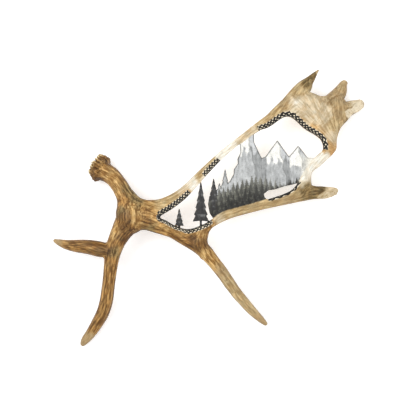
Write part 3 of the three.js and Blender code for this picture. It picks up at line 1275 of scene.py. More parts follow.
@dataclass(frozen=True)
class WearAndPaintedShade:
    """Display colours and strengths of wear, stain and dirt on the skin, and of the painted shade
    on its steep sides.
    """

    worn: Triple = (172, 146, 106)  # tips rubbed smooth
    worn_share: float = 0.45
    stain: Triple = (8, 1, -5)  # swing of the colour from place to place
    sides: Triple = (0.22, 0.27, 0.36)  # painted shade: share of each colour taken off where the skin turns steeply away from the top
    crest: Triple = (240, 226, 184)  # pale crests of the burr
    pit: Triple = (52, 34, 14)  # dark pits between them
    burr_share: float = 0.9


@dataclass(frozen=True)
class Node:
    """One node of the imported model: the box it lies in, its cell size and its saw cuts."""

    name: str
    slot: str
    low: Triple
    high: Triple
    step: float
    keep_beyond: SawCut | None
    drop: tuple[SawCut, ...]


@dataclass
class Antler:
    """The whole antler: one field of distances, meshed node by node and dressed."""

    limbs: tuple[Limb, ...] = (BEAM, BROW, BROW_SIDE, REAR, *POINTS)
    webs: tuple[Limb, ...] = (BROW_WEB, BEAM_WEB, REAR_WEB, POINT_WEB)
    burr: Burr = Burr()
    blade: Blade = Blade()
    landscape: Landscape = Landscape()
    paint: Paint = Paint()
    wear: WearAndPaintedShade = WearAndPaintedShade()
    fan_root: tuple[float, float] = (322, -8)  # where the grain of the palm's end spreads from
    ends: tuple[BevelledEnd, ...] = (
        BevelledEnd((245.5, -67.4, 67), (0.154, -0.605, 0.781), (208, 189, 154), 36.0),
        BevelledEnd((398.7, 66, 31.6), (0.5, -0.36, 0.79), (236, 222, 194), 30.0),
    )
    nodes: tuple[Node, ...] = (
        Node(
            "burr_beam", "antler", (-224, 26, -2), (-108, 276, 114), 1.05,
            keep_beyond=None, drop=(BROW_CUT, PALM_CUT),
        ),
        Node(
            "brow_branch", "antler", (-430, -104, -2), (-182, 118, 102), 1.1,
            keep_beyond=BROW_CUT, drop=(SIDE_CUT,),
        ),
        Node(
            "brow_side_tine", "antler", (-362, 50, 28), (-240, 158, 94), 1.0,
            keep_beyond=SIDE_CUT, drop=(),
        ),
        Node(
            "palm", "palm", (-134, -96, -2), (430, 194, 112), 1.52,
            keep_beyond=PALM_CUT, drop=(REAR_CUT,),
        ),
        Node(
            "rear_tine", "antler", (-90, -274, -2), (-16, -22, 98), 1.05,
            keep_beyond=REAR_CUT, drop=(),
        ),
    )
    seam: float = 4.0  # mm, reach of the rounding where limbs meet
    plate_reach: float = 3.0  # mm that the pierced plate runs on into the palm
    plate_seam: float = 1.6  # mm, width of its melted seam
    gutters: float = 0.75  # height of the gutters against their noise
    pearl_height: float = 1.5  # mm

    def fill(self, cells: Cells) -> None:
        """Works the antler out on a box.

        The limbs are joined, the palm is sawn open, and the pierced plate is set back into
        the opening.

        Args:
            cells: the box.
        """
        self.blade.join_to(cells)
        for limb in (*self.limbs, *self.webs):
            limb.join_to(cells)
        cells.fill_creases(self.seam)
        for end in self.ends:
            end.cut(cells)
        self.burr.melt_into(cells, self.seam)
        x, y = np.meshgrid(cells.axes[0], cells.axes[1], indexing="ij")
        near = (x > -125) & (x < 305) & (y > -40) & (y < 145)
        if near.any():
            rows = slice(*np.flatnonzero(near.any(axis=1))[[0, -1]] + [0, 1])
            cols = slice(*np.flatnonzero(near.any(axis=0))[[0, -1]] + [0, 1])
            self._pierce(cells, rows, cols, x[rows, cols], y[rows, cols])
        z = cells.axes[2][None, None, :]
        cells.values = np.maximum(cells.values, -z)

    def _pierce(
        self, cells: Cells, rows: slice, cols: slice, x: np.ndarray, y: np.ndarray
    ) -> None:
        """Saws the opening out and sets the pierced plate in it, in one part of the box.

        Args:
            cells: the box.
            rows: the part's slice along x.
            cols: the part's slice along y.
            x: plan coordinates of the part.
            y: plan coordinates of the part.
        """
        window, hole = self.landscape.windows(x, y)
        lens = self.blade.across(x, y)
        u, v = self.landscape.to_drawing(x, y)
        z = cells.axes[2][None, None, :]
        rise = z - lens["middle"][:, :, None]
        fillet = 3.2 * (1 - ramp(-hole, 0.0, 7.0))
        top = self.landscape.plate / 2 + fillet + self.landscape.relief(u, v)
        foot = self.landscape.plate / 2 + fillet
        plate = np.maximum(rise - top[:, :, None], -rise - foot[:, :, None])
        plate = np.maximum(plate, hole[:, :, None] - self.plate_reach)
        values = cells.values[rows, cols]
        values = np.maximum(values, -hole[:, :, None])
        values = melt(values, plate, self.plate_seam)
        cells.values[rows, cols] = np.maximum(values, -window[:, :, None]).astype(np.float32)

    def grain(self, points: np.ndarray) -> tuple[np.ndarray, np.ndarray, np.ndarray]:
        """Streaks, gutters and worn tips at points.

        Each limb's noise is stretched along it, and the limbs are blended by how near their
        skins are.

        Args:
            points: places on the skin.

        Returns:
            Streak from 0 to 1, gutter height in mm, and the pale share of a worn tip.
        """
        weights = np.zeros(len(points))
        power = np.zeros(len(points))
        streak = np.zeros(len(points))
        gutter = np.zeros(len(points))
        worn = np.zeros(len(points))
        for limb in (*self.limbs, *self.webs):
            at = limb.follow(points)
            w = np.exp(-np.maximum(np.abs(at["gap"]) - 0.5, 0.0) / 3.0) + 1e-9
            s, g = self._streaks(at["arc"], at["side"], at["top"], limb.seed)
            smooth = ramp(at["left"], 0.25 * limb.worn_tip, max(limb.worn_tip, 1.0))
            weights += w
            power += w * w
            streak += w * s
            gutter += w * g * limb.furrow * (0.35 + 0.65 * smooth)
            worn += w * (1 - smooth) * (limb.worn_tip > 0)
        lens = self.blade.across(points[:, 0], points[:, 1])
        rise = points[:, 2] - lens["middle"]
        inside = ramp(np.abs(lens["side"]), 1.05, 0.9) * ramp(points[:, 0], -130, -85)
        w = inside * np.exp(-np.maximum(np.abs(np.abs(rise) - lens["thick"] / 2) - 2.0, 0.0) / 4.0)
        w = w * ramp(points[:, 0], 395, 360) + 1e-9
        fan = ramp(points[:, 0], 262, 300)
        offset = points[:, :2] - self.fan_root
        turn = np.arctan2(offset[:, 1], offset[:, 0]) * 100.0
        for share, arc, side, seed in (
            (1 - fan, points[:, 0], lens["side"] * 75.0, 31),
            (fan, np.hypot(offset[:, 0], offset[:, 1]), turn, 33),
        ):
            s, g = self._streaks(arc, side, rise * 2.0, seed)
            weights += w * share
            power += (w * share) ** 2
            streak += w * share * s
            gutter += w * share * g * 0.55
        return streak / np.sqrt(power), gutter / weights, worn / weights

    def _streaks(
        self, arc: np.ndarray, side: np.ndarray, top: np.ndarray, seed: int
    ) -> tuple[np.ndarray, np.ndarray]:
        """Noise stretched along a limb: fine dark streaks, and the broad gutters under them.

        Args:
            arc: distance along the limb, in mm.
            side: distance across it.
            top: distance over it.
            seed: number of the limb's own noise.

        Returns:
            Streak, and height of the gutters.
        """
        wander = 2.2 * Noise(seed + 50).at(np.stack([arc / 40, side / 30, top / 30], axis=1))
        side, top = side + wander, top + wander
        fine = np.stack([arc / 13.0, side / 1.9, top / 1.9], axis=1)
        middle = np.stack([arc / 30.0, side / 3.7, top / 3.7], axis=1)
        broad = np.stack([arc / 70.0, side / 8.0, top / 8.0], axis=1)
        a = Noise(seed).fractal(fine, 2)
        c = Noise(seed + 2).at(middle)
        b = Noise(seed + 1).fractal(broad, 2)
        crack = np.maximum(0.0, 0.16 - np.abs(c)) * 6.0 * ramp(b, 0.3, -0.3)
        groove = -np.maximum(0.0, 0.32 - np.abs(b)) * 2.6
        streak = 1.2 * a + 0.6 * c + 0.4 * b + 0.7 * crack
        return streak, 0.7 * b + 0.5 * groove + 0.25 * a - 0.5 * crack

    def pearls(self, points: np.ndarray) -> np.ndarray:
        """Height of the pearls on the lower beam: bumps that fade away from the burr.

        Args:
            points: places on the skin.

        Returns:
            Heights in mm.
        """
        s, radius, angle = self.burr.measure(points)
        fade = ramp(s, -95.0, -18.0) * ramp(radius, 60.0, 45.0)
        around = np.stack([s / 8.0, 5.2 * np.cos(angle), 5.2 * np.sin(angle)], axis=1)
        bump = np.maximum(Noise(61).fractal(around, 2), 0.0) ** 0.8
        return self.pearl_height * fade * bump * (radius < 60)

    def skin(
        self,
        points: np.ndarray,
        normal: np.ndarray,
        streak: np.ndarray,
        gutter: np.ndarray,
        worn: np.ndarray,
    ) -> np.ndarray:
        """Display colours of bare antler: tones blended by nearness, darkened by streaks.

        The steep sides are darkened and browned by a painted shade, the steeper the darker.

        Args:
            points: places on the skin.
            normal: outward direction at each.
            streak: streak at each.
            gutter: gutter height at each.
            worn: pale share at each.

        Returns:
            Colours, a row each.
        """
        total = np.full(len(points), 1e-6)
        light = np.zeros((len(points), 3))
        dark = np.zeros((len(points), 3))
        warp = 6.0 * np.stack([Noise(k).fractal(points / 14.0, 2) for k in (71, 72)], axis=1)
        for x, y, reach, tone in TONES:
            d2 = ((points[:, :2] + warp - [x, y]) ** 2).sum(axis=1) / reach**2
            w = np.exp(-d2) + 0.02 * np.exp(-d2 / 9) + 1e-7
            total += w
            light += w[:, None] * np.array(tone.value[0])
            dark += w[:, None] * np.array(tone.value[1])
        light, dark = light / total[:, None], dark / total[:, None]
        share = ramp(streak + 0.3 * np.clip(-gutter, -1, 1), -0.9, 1.0)[:, None]
        colour = light + (dark - light) * share
        hue = Noise(74).fractal(points / 8.0, 2)[:, None]
        colour = colour + hue * np.array(self.wear.stain)
        colour = tint(colour, self.wear.worn, self.wear.worn_share * worn)
        # painted shade on the steep sides, where they turn away from the light
        side = ramp(1 - np.abs(normal[:, 2]), 0.30, 0.95)[:, None]
        return colour * (1 - side * np.array(self.wear.sides))

    def burr_colour(self, points: np.ndarray, colour: np.ndarray) -> np.ndarray:
        """Works the burr's pale crests and dark pits in.

        On the base's face, where there are no crests, a finer noise takes their place.

        Args:
            points: places on the skin.
            colour: colours there.

        Returns:
            The new colours.
        """
        s, radius, angle = self.burr.measure(points)
        near = ramp(s, -22.0, -6.0) * ramp(radius, 48.0, 42.0)
        base = ramp(s, 8.0, 11.0) * ramp(radius, 24.0, 19.0)
        knob = self.burr.knobs(s, angle)
        knob = knob + (1.6 * Noise(47).fractal(points / 3.0, 3) + 0.25 - knob) * base
        broken = ramp(Noise(49).at(points / 4.5), -0.3, 0.25)
        crest = near * ramp(knob, 0.0, 0.5) * ramp(s, 2.0, 9.0) * (0.35 + 0.65 * broken)
        pit = near * ramp(knob, 0.05, -0.6) * (1 - 0.6 * broken)
        colour = tint(colour, self.wear.crest, self.wear.burr_share * crest)
        return tint(colour, self.wear.pit, self.wear.burr_share * pit)

    def painted(
        self, points: np.ndarray, colour: np.ndarray, window: np.ndarray, hole: np.ndarray
    ) -> tuple[np.ndarray, np.ndarray]:
        """Colours with the landscape painted over the plate.

        Args:
            points: places on the plate.
            colour: colours of the bare antler there.
            window: distance to the windows.
            hole: distance to the edge of the opening, less than zero on the plate.

        Returns:
            The colours, and the painted share of each.
        """
        u, v = self.landscape.to_drawing(points[:, 0], points[:, 1])
        brush = Noise(81).fractal(np.stack([u / 3.0, v / 9.0, 0 * u], axis=1), 3)
        picture = self._mountains(u, v, brush, window)
        picture = self._forest(u, v, brush, picture)
        picture = self._near_spruces(u, v, brush, picture)
        edge = ramp(-hole + 0.8 * brush, 0.3, 2.4)
        return tint(colour, picture, edge), edge

    def _mountains(
        self, u: np.ndarray, v: np.ndarray, brush: np.ndarray, window: np.ndarray
    ) -> np.ndarray:
        """Paints the mountains.

        Snow lies over a ragged line below each summit, on slate flanks that are shaded away
        from their ridge and edged in ink. Towards the right the paint thins out to bone.

        Args:
            u: distance to the right.
            v: height.
            brush: noise of the brush's strokes.
            window: distance to the windows.

        Returns:
            Display colours, a row each.
        """
        paint = self.paint
        side, below = self.landscape.ridge(u, v)
        broad = Noise(82).fractal(np.stack([u / 14.0, v / 14.0, 0 * u], axis=1), 2)
        flank = ramp(side + 2.0 * brush, -1.0, 3.0)
        snow = tint(np.array(paint.snow), paint.shade, flank)
        slate = np.array(paint.slate) + (30.0 * brush - 26.0 * flank + 12.0 * broad)[:, None]
        ragged = 44.0 + 13.0 * np.abs(((u / 8.0) % 2.0) - 1.0) + 9.0 * brush + 10.0 * broad
        bare = ramp(below - ragged, -3.0, 3.0)
        mountain = tint(snow, slate, bare)
        rock = ramp(brush + 0.5 * broad, 0.25, 0.5) * flank * (1 - bare)
        mountain = tint(mountain, paint.rock, 0.8 * rock)
        crest = ramp(np.abs(side), 1.8, 0.4) * ramp(below, 2.0, 8.0) * (0.45 + 0.3 * brush)
        ink = np.maximum(crest, ramp(window + 0.8 * brush, 2.6, 1.2) * 0.8)
        mountain = tint(mountain, paint.ink, np.clip(ink, 0, 1))
        return tint(mountain, paint.bone, ramp(u, 128.0, 165.0) * ramp(v, 70.0, 40.0))

    def _forest(
        self, u: np.ndarray, v: np.ndarray, brush: np.ndarray, picture: np.ndarray
    ) -> np.ndarray:
        """Paints the rows of trees from the back one, the nearer the darker.

        Args:
            u: distance to the right.
            v: height.
            brush: noise of the brush's strokes.
            picture: colours so far.

        Returns:
            The new colours.
        """
        mist = ramp(u, 15.0, 70.0)[:, None]
        for k, row in enumerate(self.landscape.trees):
            depth, lit = self.landscape.tree_row(u, v, k)
            grey = row[4] * np.array([1.0, 1.0, 0.93]) + (34 - 8 * k) * mist
            bough = ramp(brush - 0.9 * lit, 0.1, 1.1)[:, None] * np.array(self.paint.bough)
            trees = grey + bough - 16.0 * ramp(lit, 0.2, 0.9)[:, None]
            picture = tint(picture, trees, ramp(depth, -0.4, 0.6))
        return picture

    def _near_spruces(
        self, u: np.ndarray, v: np.ndarray, brush: np.ndarray, picture: np.ndarray
    ) -> np.ndarray:
        """Paints the cut-out spruces nearly black, with a little snow on their tiers.

        Args:
            u: distance to the right.
            v: height.
            brush: noise of the brush's strokes.
            picture: colours so far.

        Returns:
            The new colours.
        """
        near = np.zeros(len(u))
        lying = np.zeros(len(u))
        for row in self.landscape.spruces:
            foot, height, tiers = row[1], row[2], row[4]
            shape = outline_distance(u, v, self.landscape.spruce(row))[0]
            tier = ((v - foot) / height * tiers) % 1.0
            on = ramp(shape, 3.0, 1.0) * (u < self.landscape.near_end)
            near = np.maximum(near, on)
            lying = np.maximum(lying, on * ramp(tier, 0.45, 0.75) * ramp(tier, 1.0, 0.88))
        bark = 46.0 + 22.0 * ramp(brush, -0.2, 0.8)[:, None] * np.array([1.0, 1.0, 0.94])
        bark = bark + 46.0 * (lying * ramp(brush, -0.2, 0.4))[:, None]
        return tint(picture, bark, near)

    def build(self, node: Node) -> bpy.types.Object:
        """Meshes and dresses one node.

        Args:
            node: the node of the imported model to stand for.

        Returns:
            The dressed object, still without its material.
        """
        cells = Cells(node.low, node.high, node.step)
        self.fill(cells)
        verts, quads = cells.surface()
        verts, faces, sharp = saw(verts, quads, node)
        normal = unit(np.stack([cells.read(g, verts) for g in cells.slopes()], axis=1))
        streak, gutter, worn = self.grain(verts)
        window, hole = self.landscape.windows(verts[:, 0], verts[:, 1])
        flatness = ramp(hole, -1.0, 4.0)
        above = ramp(verts[:, 2], 0.2, 2.5)
        burred = ramp(self.burr.measure(verts)[0], -20.0, -8.0)
        lift = self.gutters * gutter * flatness * above * (1 - burred)
        lift = lift + self.pearls(verts) * above
        moved = verts + normal * lift[:, None]
        moved[:, 2] = np.maximum(moved[:, 2], 0.0)
        colour = self.skin(verts, normal, streak, gutter, worn)
        colour = self.burr_colour(verts, colour)
        for end in self.ends:
            colour = end.bare(verts, colour)
        middle = self.blade.across(verts[:, 0], verts[:, 1])["middle"]
        inside = (hole < 0.5) & (verts[:, 2] > middle - 0.5) & (node.name == "palm")
        painted = np.zeros(len(verts))
        if inside.any():
            colour[inside], painted[inside] = self.painted(
                verts[inside], colour[inside], window[inside], hole[inside]
            )
        piece = mesh_object(node.name + "_skin", moved * MM, faces, sharp)
        values = {
            "skin": np.hstack([linear(colour), np.ones((len(verts), 1))]),
            "painted": painted,
            "streak": ramp(streak, -1.0, 1.0),
        }
        if node.name == "palm":
            values |= self.lace_values(verts)
        write_attributes(piece, values)
        return piece

    def lace_values(self, verts: np.ndarray) -> dict[str, np.ndarray]:
        """Turn of the border's strands, distance from the edge and width of the border.

        A free end of a run is open, half way through a link; at the corner the strands close
        up to a solid knot, where distances shrink to a quarter and nothing lies beyond.

        Args:
            verts: places on the palm.

        Returns:
            The three values by the name of their attribute.
        """
        edge = self.landscape.edge()
        distance, arc = outline_distance(verts[:, 0], verts[:, 1], edge)
        around = self.landscape.border[-1][1]
        corner = np.minimum(arc, np.abs(around - arc))
        knot = ramp(corner, 3.5, 0.5)
        out = distance * (1 - 0.73 * knot) + 14.0 * knot * ramp(distance, 7.5, 8.8)
        lens = self.blade.across(verts[:, 0], verts[:, 1])
        up = verts[:, 2] > lens["middle"] + 0.27 * lens["thick"]
        width = np.zeros(len(verts))
        turn = np.zeros(len(verts))
        for start, end, wide, link in self.landscape.border:
            on = up & (distance > -1.5) & (arc >= start) & (arc < end)
            first, last = start > 0, end < around
            links = round((end - start) / link) + 0.5 * (first != last)
            share = (arc - start) / (end - start)
            width = np.where(on, wide, width)
            angle = math.pi * (share * links + 0.5 * first)
            turn = np.where(on, angle + 0.3 * np.cos(2 * angle), turn)
        return {"lace_turn": turn, "lace_out": out, "lace_wide": width}


SAW_BAND = 6.0  # mm on each side of a plane in which faces are cut


def saw(
    verts: np.ndarray, quads: np.ndarray, node: Node
) -> tuple[np.ndarray, np.ndarray, np.ndarray]:
    """Cuts a node out at its planes and closes the cut ends with flat caps.

    Args:
        verts: vertices in mm.
        quads: faces of four.
        node: which blocks to keep and drop.

    Returns:
        Vertices, triangles and the pairs of vertices of the sharp rims.
    """
    scratch = bpy.data.meshes.new("scratch")
    scratch.from_pydata(verts.tolist(), [], quads.tolist())
    bm = bmesh.new()
    bm.from_mesh(scratch)
    rims: list[bmesh.types.BMEdge] = []
    cuts = [(c, False) for c in node.drop]
    if node.keep_beyond is not None:
        cuts.append((node.keep_beyond, True))
    for cut, keep in cuts:
        away = unit(np.array(cut.away))
        one, two = cut.sides()
        centres = np.array([f.calc_center_median() for f in bm.faces])
        offset = centres - np.array(cut.at)
        band = (
            (np.abs(offset @ away) < SAW_BAND)
            & (np.abs(offset @ one) < cut.half)
            & (np.abs(offset @ two) < cut.half)
        )
        faces = [f for f, near in zip(bm.faces, band) if near]
        edges = list({e for f in faces for e in f.edges})
        points = list({v for f in faces for v in f.verts})
        made = bmesh.ops.bisect_plane(
            bm,
            geom=[*points, *edges, *faces],
            dist=1e-5,
            plane_co=Vector(cut.at),
            plane_no=Vector(tuple(away)),
        )["geom_cut"]
        rim = [g for g in made if isinstance(g, bmesh.types.BMEdge)]
        centres = np.array([f.calc_center_median() for f in bm.faces])
        beyond = cut.beyond(centres)
        gone = [f for f, b in zip(bm.faces, beyond) if b != keep]
        bmesh.ops.delete(bm, geom=gone, context="FACES")
        rim = [e for e in rim if e.is_valid and e.is_boundary]
        bmesh.ops.holes_fill(bm, edges=rim, sides=0)
        rims += rim
    bmesh.ops.triangulate(bm, faces=bm.faces[:])
    bm.verts.index_update()
    sharp = np.array([[v.index for v in e.verts] for e in rims if e.is_valid]).reshape(-1, 2)
    bm.to_mesh(scratch)
    bm.free()
    out = np.empty(len(scratch.vertices) * 3, dtype=np.float32)
    scratch.vertices.foreach_get("co", out)
    tris = np.empty(len(scratch.loops), dtype=np.int32)
    scratch.loops.foreach_get("vertex_index", tris)
    bpy.data.meshes.remove(scratch)
    return out.reshape(-1, 3).astype(float), tris.reshape(-1, 3), sharp


def mesh_object(
    name: str, verts: np.ndarray, faces: np.ndarray, sharp: np.ndarray
) -> bpy.types.Object:
    """Smooth-shaded object from arrays, with sharp edges at its cut rims.

    Args:
        name: the object's name.
        verts: vertices in metres.
        faces: triangles.
        sharp: pairs of vertices whose edge stays sharp.

    Returns:
        The object, linked to the scene.
    """
    mesh = bpy.data.meshes.new(name)
    mesh.from_pydata(verts.tolist(), [], faces.tolist())
    mesh.polygons.foreach_set("use_smooth", np.ones(len(mesh.polygons), dtype=bool))
    if len(sharp):
        pairs = np.empty(len(mesh.edges) * 2, dtype=np.int32)
        mesh.edges.foreach_get("vertices", pairs)
        keys = np.sort(pairs.reshape(-1, 2), axis=1) @ [len(verts), 1]
        wanted = np.sort(sharp, axis=1) @ [len(verts), 1]
        flags = mesh.attributes.new("sharp_edge", "BOOLEAN", "EDGE")
        flags.data.foreach_set("value", np.isin(keys, wanted))
    mesh.validate()
    mesh.update()
    piece = bpy.data.objects.new(name, mesh)
    bpy.context.scene.collection.objects.link(piece)
    return piece


def write_attributes(piece: bpy.types.Object, values: dict[str, np.ndarray]) -> None:
    """Writes arrays to a mesh as point attributes, four columns as a colour.

    Args:
        piece: the mesh object.
        values: an array for each attribute's name.
    """
    for name, array in values.items():
        kind = "FLOAT_COLOR" if array.ndim == 2 else "FLOAT"
        layer = piece.data.attributes.new(name, kind, "POINT")
        key = "color" if array.ndim == 2 else "value"
        layer.data.foreach_set(key, np.ascontiguousarray(array, dtype=np.float32).ravel())


# ---------------------------------------------------------------------------
# Finishes
# ---------------------------------------------------------------------------


class Nodes:
    """Short way to lay shader nodes out in a material."""

    def __init__(self, name: str) -> None:
        """Starts an empty material with its output and main shader.

        Args:
            name: the material's name.
        """
        self.material = bpy.data.materials.new(name)
        self.material.use_nodes = True
        self.tree = self.material.node_tree
        self.tree.nodes.clear()
        self.output = self.tree.nodes.new("ShaderNodeOutputMaterial")
        self.shader = self.tree.nodes.new("ShaderNodeBsdfPrincipled")
        self.join(self.shader.outputs["BSDF"], self.output.inputs["Surface"])

    def add(self, kind: str, **settings: object) -> bpy.types.Node:
        """Adds a node.

        Args:
            kind: the node's type.
            settings: its properties by name.

        Returns:
            The node.
        """
        node = self.tree.nodes.new(kind)
        for key, value in settings.items():
            setattr(node, key, value)
        return node

    def join(self, source: Socket, target: Socket) -> None:
        """Links two sockets."""
        self.tree.links.new(source, target)

    def put(self, value: object, target: Socket) -> None:
        """Links a socket, or sets a plain value.

        Args:
            value: socket or plain value.
            target: the input that takes it.
        """
        if isinstance(value, Socket):
            self.join(value, target)
        else:
            target.default_value = value

    def math(self, operation: str, a: object, b: object = 0.0) -> Socket:
        """Result of a math node.

        Args:
            operation: its operation.
            a: first socket or number.
            b: second socket or number.

        Returns:
            The socket of the result.
        """
        node = self.add("ShaderNodeMath", operation=operation)
        self.put(a, node.inputs[0])
        self.put(b, node.inputs[1])
        return node.outputs[0]

    def value(self, name: str) -> Socket:
        """Number of the mesh attribute with that name."""
        return self.add("ShaderNodeAttribute", attribute_name=name).outputs["Fac"]

    def colour(self, name: str) -> Socket:
        """Colour of the mesh attribute with that name."""
        return self.add("ShaderNodeAttribute", attribute_name=name).outputs["Color"]

    def noise(self, scale: float, detail: float) -> Socket:
        """Noise on the object's own coordinates.

        Args:
            scale: cells in a metre.
            detail: number of octaves.

        Returns:
            The socket of the noise, from 0 to 1.
        """
        where = self.add("ShaderNodeTexCoord").outputs["Object"]
        noise = self.add("ShaderNodeTexNoise")
        noise.inputs["Scale"].default_value = scale
        noise.inputs["Detail"].default_value = detail
        self.join(where, noise.inputs["Vector"])
        return noise.outputs["Fac"]

    def blend(self, share: object, a: object, b: object, mode: str = "MIX") -> Socket:
        """Mix of two colours.

        Args:
            share: how much of b.
            a: first colour.
            b: second colour.
            mode: the way of mixing.

        Returns:
            The socket of the mixed colour.
        """
        node = self.add("ShaderNodeMix", data_type="RGBA", blend_type=mode)
        self.put(share, node.inputs["Factor"])
        self.put(a, node.inputs["A"])
        self.put(b, node.inputs["B"])
        return node.outputs["Result"]

    def span(
        self, value: object, low: float, high: float, to_low: float, to_high: float
    ) -> Socket:
        """Value carried from one range to another, held at its ends.

        Args:
            value: socket or number.
            low: start of its range.
            high: end of its range.
            to_low: result at the start.
            to_high: result at the end.

        Returns:
            The socket of the result.
        """
        node = self.add("ShaderNodeMapRange")
        for socket, number in zip(node.inputs, (value, low, high, to_low, to_high)):
            self.put(number, socket)
        return node.outputs["Result"]


@dataclass(frozen=True)
class LaceBorder:
    """Two crossed zigzags beside the sawn edge; sizes in mm, shares of the border's width."""

    link: float = 9.0  # from crossing to crossing
    middle: float = 0.48  # share: where the strands cross
    swing: float = 0.32  # share: how far they swing to each side
    stroke: float = 0.138  # share: half of a stroke
    single_below: float = 7.0  # a border narrower than this has one strand
    single_stroke: float = 1.9  # half of its stroke
    none_below: float = 4.0  # width under which there is no border
    rim: tuple[float, float] = (1.8, 2.6)  # dark line along the edge: where it ends
    ground: float = 0.38  # share: half width of the bleached ground
    bleaching: float = 0.85
    wobble: float = 0.7
    ink: Triple = (24, 22, 18)
    bleached: Triple = (252, 240, 212)

    def shares(self, n: Nodes) -> tuple[Socket, Socket]:
        """Lays the border's nodes out: dark where either strand is near.

        The gap to a zigzag is measured across and divided by the root of one plus its slope
        squared, so the stroke keeps its width; a slow wobble keeps it hand-cut.

        Args:
            n: the material's nodes.

        Returns:
            Share of ink, and share of the bleached ground between the strands.
        """
        turn, out, wide = (n.value(k) for k in ("lace_turn", "lace_out", "lace_wide"))
        wobble = n.span(n.noise(150.0, 1.0), 0.3, 0.7, -self.wobble, self.wobble)
        reach = n.math("MULTIPLY", wide, self.swing)
        zigzag = n.math("MULTIPLY", n.math("ARCSINE", n.math("SINE", turn)), 2 / math.pi)
        swing = n.math("ADD", n.math("MULTIPLY", zigzag, reach), wobble)
        slope = n.math("MULTIPLY", reach, 2 / self.link)
        stretch = n.math("SQRT", n.math("ADD", n.math("MULTIPLY", slope, slope), 1.0))
        middle = n.math("MULTIPLY", wide, self.middle)
        gaps = [
            n.math("ABSOLUTE", n.math("SUBTRACT", out, n.math(sign, middle, swing)))
            for sign in ("ADD", "SUBTRACT")
        ]
        single = n.math("LESS_THAN", wide, self.single_below)
        gaps[1] = n.math("ADD", gaps[1], n.math("MULTIPLY", single, FAR))
        gap = n.math("DIVIDE", n.math("MINIMUM", *gaps), stretch)
        half = n.math(
            "MAXIMUM",
            n.math("MULTIPLY", wide, self.stroke),
            n.math("MULTIPLY", single, self.single_stroke),
        )
        strands = n.span(n.math("SUBTRACT", gap, half), -0.35, 0.35, 1.0, 0.0)
        rim = n.span(n.math("ADD", n.math("ABSOLUTE", out), wobble), *self.rim, 1.0, 0.0)
        on = n.math("GREATER_THAN", wide, self.none_below)
        off = n.math("ABSOLUTE", n.math("SUBTRACT", out, middle))
        past = n.math("SUBTRACT", off, n.math("MULTIPLY", wide, self.ground))
        ground = n.math("MULTIPLY", n.span(past, -0.8, 0.8, self.bleaching, 0.0), on)
        return n.math("MULTIPLY", n.math("MAXIMUM", strands, rim), on), ground


@dataclass(frozen=True)
class SkinFinish:
    """Satin antler skin: its colours from the mesh, with pores, fine grain and wear."""

    name: str
    lace: LaceBorder | None = None
    roughness: tuple[float, float] = (0.42, 0.62)
    pore: Triple = (86, 62, 34)
    pore_share: float = 0.45
    pore_scale: float = 420.0
    mottle_scale: float = 70.0
    mottle: tuple[float, float] = (0.86, 1.12)  # darkest and lightest
    bump: float = 0.35
    depth: float = 0.0004  # metres
    lace_depth: float = 1.2  # against that of the pores
    specular: float = 0.3

    def material(self) -> bpy.types.Material:
        """Builds the shader nodes.

        Returns:
            The material.
        """
        n = Nodes(self.name)
        pores = n.noise(self.pore_scale, 4.0)
        mottle = n.span(n.noise(self.mottle_scale, 5.0), 0.25, 0.75, *self.mottle)
        grey = n.add("ShaderNodeCombineColor")
        for socket in grey.inputs:
            n.join(mottle, socket)
        base = n.blend(1.0, n.colour("skin"), grey.outputs["Color"], "MULTIPLY")
        speck = n.span(pores, 0.60, 0.72, 0.0, self.pore_share)
        base = n.blend(speck, base, (*linear(self.pore), 1.0))
        rough = n.span(n.math("ADD", n.value("streak"), pores), 0.4, 1.6, *self.roughness)
        height = n.math("MULTIPLY", pores, 0.6)
        if self.lace:
            mark, ground = self.lace.shares(n)
            base = n.blend(ground, base, (*linear(self.lace.bleached), 1.0))
            base = n.blend(mark, base, (*linear(self.lace.ink), 1.0))
            height = n.math("SUBTRACT", height, n.math("MULTIPLY", mark, self.lace_depth))
        bump = n.add("ShaderNodeBump")
        bump.inputs["Strength"].default_value = self.bump
        bump.inputs["Distance"].default_value = self.depth
        n.join(height, bump.inputs["Height"])
        n.join(bump.outputs["Normal"], n.shader.inputs["Normal"])
        n.join(base, n.shader.inputs["Base Color"])
        n.join(rough, n.shader.inputs["Roughness"])
        n.shader.inputs["Specular IOR Level"].default_value = self.specular
        return n.material


# ---------------------------------------------------------------------------
# Studio
# ---------------------------------------------------------------------------


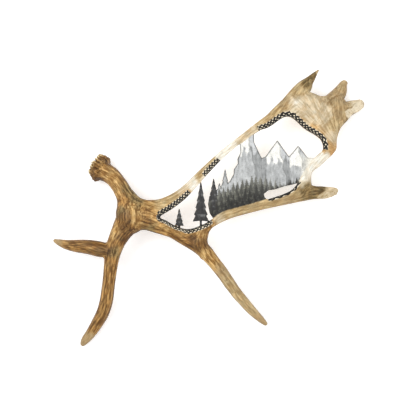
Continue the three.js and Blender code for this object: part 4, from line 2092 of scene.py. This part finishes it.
@dataclass(frozen=True)
class Studio:
    """Pale floor, soft lights and the camera straight above."""

    aim: tuple[float, float] = (-0.009, 0.036)
    height: float = 3.239
    lens: float = 120.0
    sensor: float = 36.0
    roll: float = -30.0
    lights: tuple[tuple[str, Triple, float, float], ...] = (
        ("key", (-1.1, 1.5, 3.0), 1.6, 46.0),
        ("fill", (1.6, -1.0, 3.0), 2.4, 22.0),
        ("top", (0.0, 0.0, 3.6), 3.0, 22.0),
    )  # name, place, size, watts
    lights_aim: Triple = (0.0, 0.0, 0.05)
    sky: float = 0.65  # strength of the even light from all round
    floor_half: float = 12.0
    floor_level: float = -0.0004
    floor_colour: Triple = (0.925, 0.93, 0.94)
    floor_glow: float = 0.3

    def build(self) -> None:
        """Makes floor, lights, world and camera."""
        self._floor()
        for name, place, size, power in self.lights:
            self._light(name, place, size, power)
        world = bpy.data.worlds.new("studio")
        world.use_nodes = True
        sky = world.node_tree.nodes["Background"]
        sky.inputs["Color"].default_value = (1, 1, 1, 1)
        sky.inputs["Strength"].default_value = self.sky
        bpy.context.scene.world = world
        bpy.context.scene.view_settings.view_transform = "Standard"
        self._camera()

    def _camera(self) -> None:
        """Camera straight above, turned as the antler is seen."""
        data = bpy.data.cameras.new("camera")
        data.lens = self.lens
        data.sensor_width = self.sensor
        data.clip_end = 50.0
        camera = bpy.data.objects.new("camera", data)
        camera.location = (*self.aim, self.height)
        camera.rotation_euler = (0.0, 0.0, math.radians(self.roll))
        bpy.context.scene.collection.objects.link(camera)
        bpy.context.scene.camera = camera

    def _light(self, name: str, place: Triple, size: float, power: float) -> None:
        """Square soft light that faces the antler.

        Args:
            name: the light's name.
            place: where it hangs.
            size: side of the square, in metres.
            power: watts.
        """
        data = bpy.data.lights.new(name, "AREA")
        data.size = size
        data.energy = power
        light = bpy.data.objects.new(name, data)
        light.location = place
        aim = Vector(self.lights_aim) - Vector(place)
        light.rotation_euler = aim.to_track_quat("-Z", "Y").to_euler()
        bpy.context.scene.collection.objects.link(light)

    def _floor(self) -> None:
        """Wide plain floor just under the antler."""
        mesh = bpy.data.meshes.new("floor")
        r, z = self.floor_half, self.floor_level
        mesh.from_pydata([(-r, -r, z), (r, -r, z), (r, r, z), (-r, r, z)], [], [(0, 1, 2, 3)])
        floor = bpy.data.objects.new("floor", mesh)
        bpy.context.scene.collection.objects.link(floor)
        n = Nodes("floor_paper")
        n.shader.inputs["Base Color"].default_value = (*self.floor_colour, 1.0)
        n.shader.inputs["Roughness"].default_value = 0.9
        n.shader.inputs["Emission Color"].default_value = (1.0, 1.0, 1.0, 1.0)
        n.shader.inputs["Emission Strength"].default_value = self.floor_glow
        mesh.materials.append(n.material)


def main() -> None:
    """Builds the antler node by node, dresses it, and sets the studio up."""
    logging.basicConfig(level=logging.INFO, format="%(name)s %(message)s")
    Studio().build()
    antler = Antler()
    finishes = {
        "antler": SkinFinish("antler_skin").material(),
        "palm": SkinFinish("palm_skin", LaceBorder()).material(),
    }
    for node in antler.nodes:
        piece = antler.build(node)
        piece.data.materials.append(finishes[node.slot])
        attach(piece, "root")
        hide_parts(node.name)
        LOG.info("%s: %d triangles", piece.name, len(piece.data.polygons))


if __name__ == "__main__":
    main()
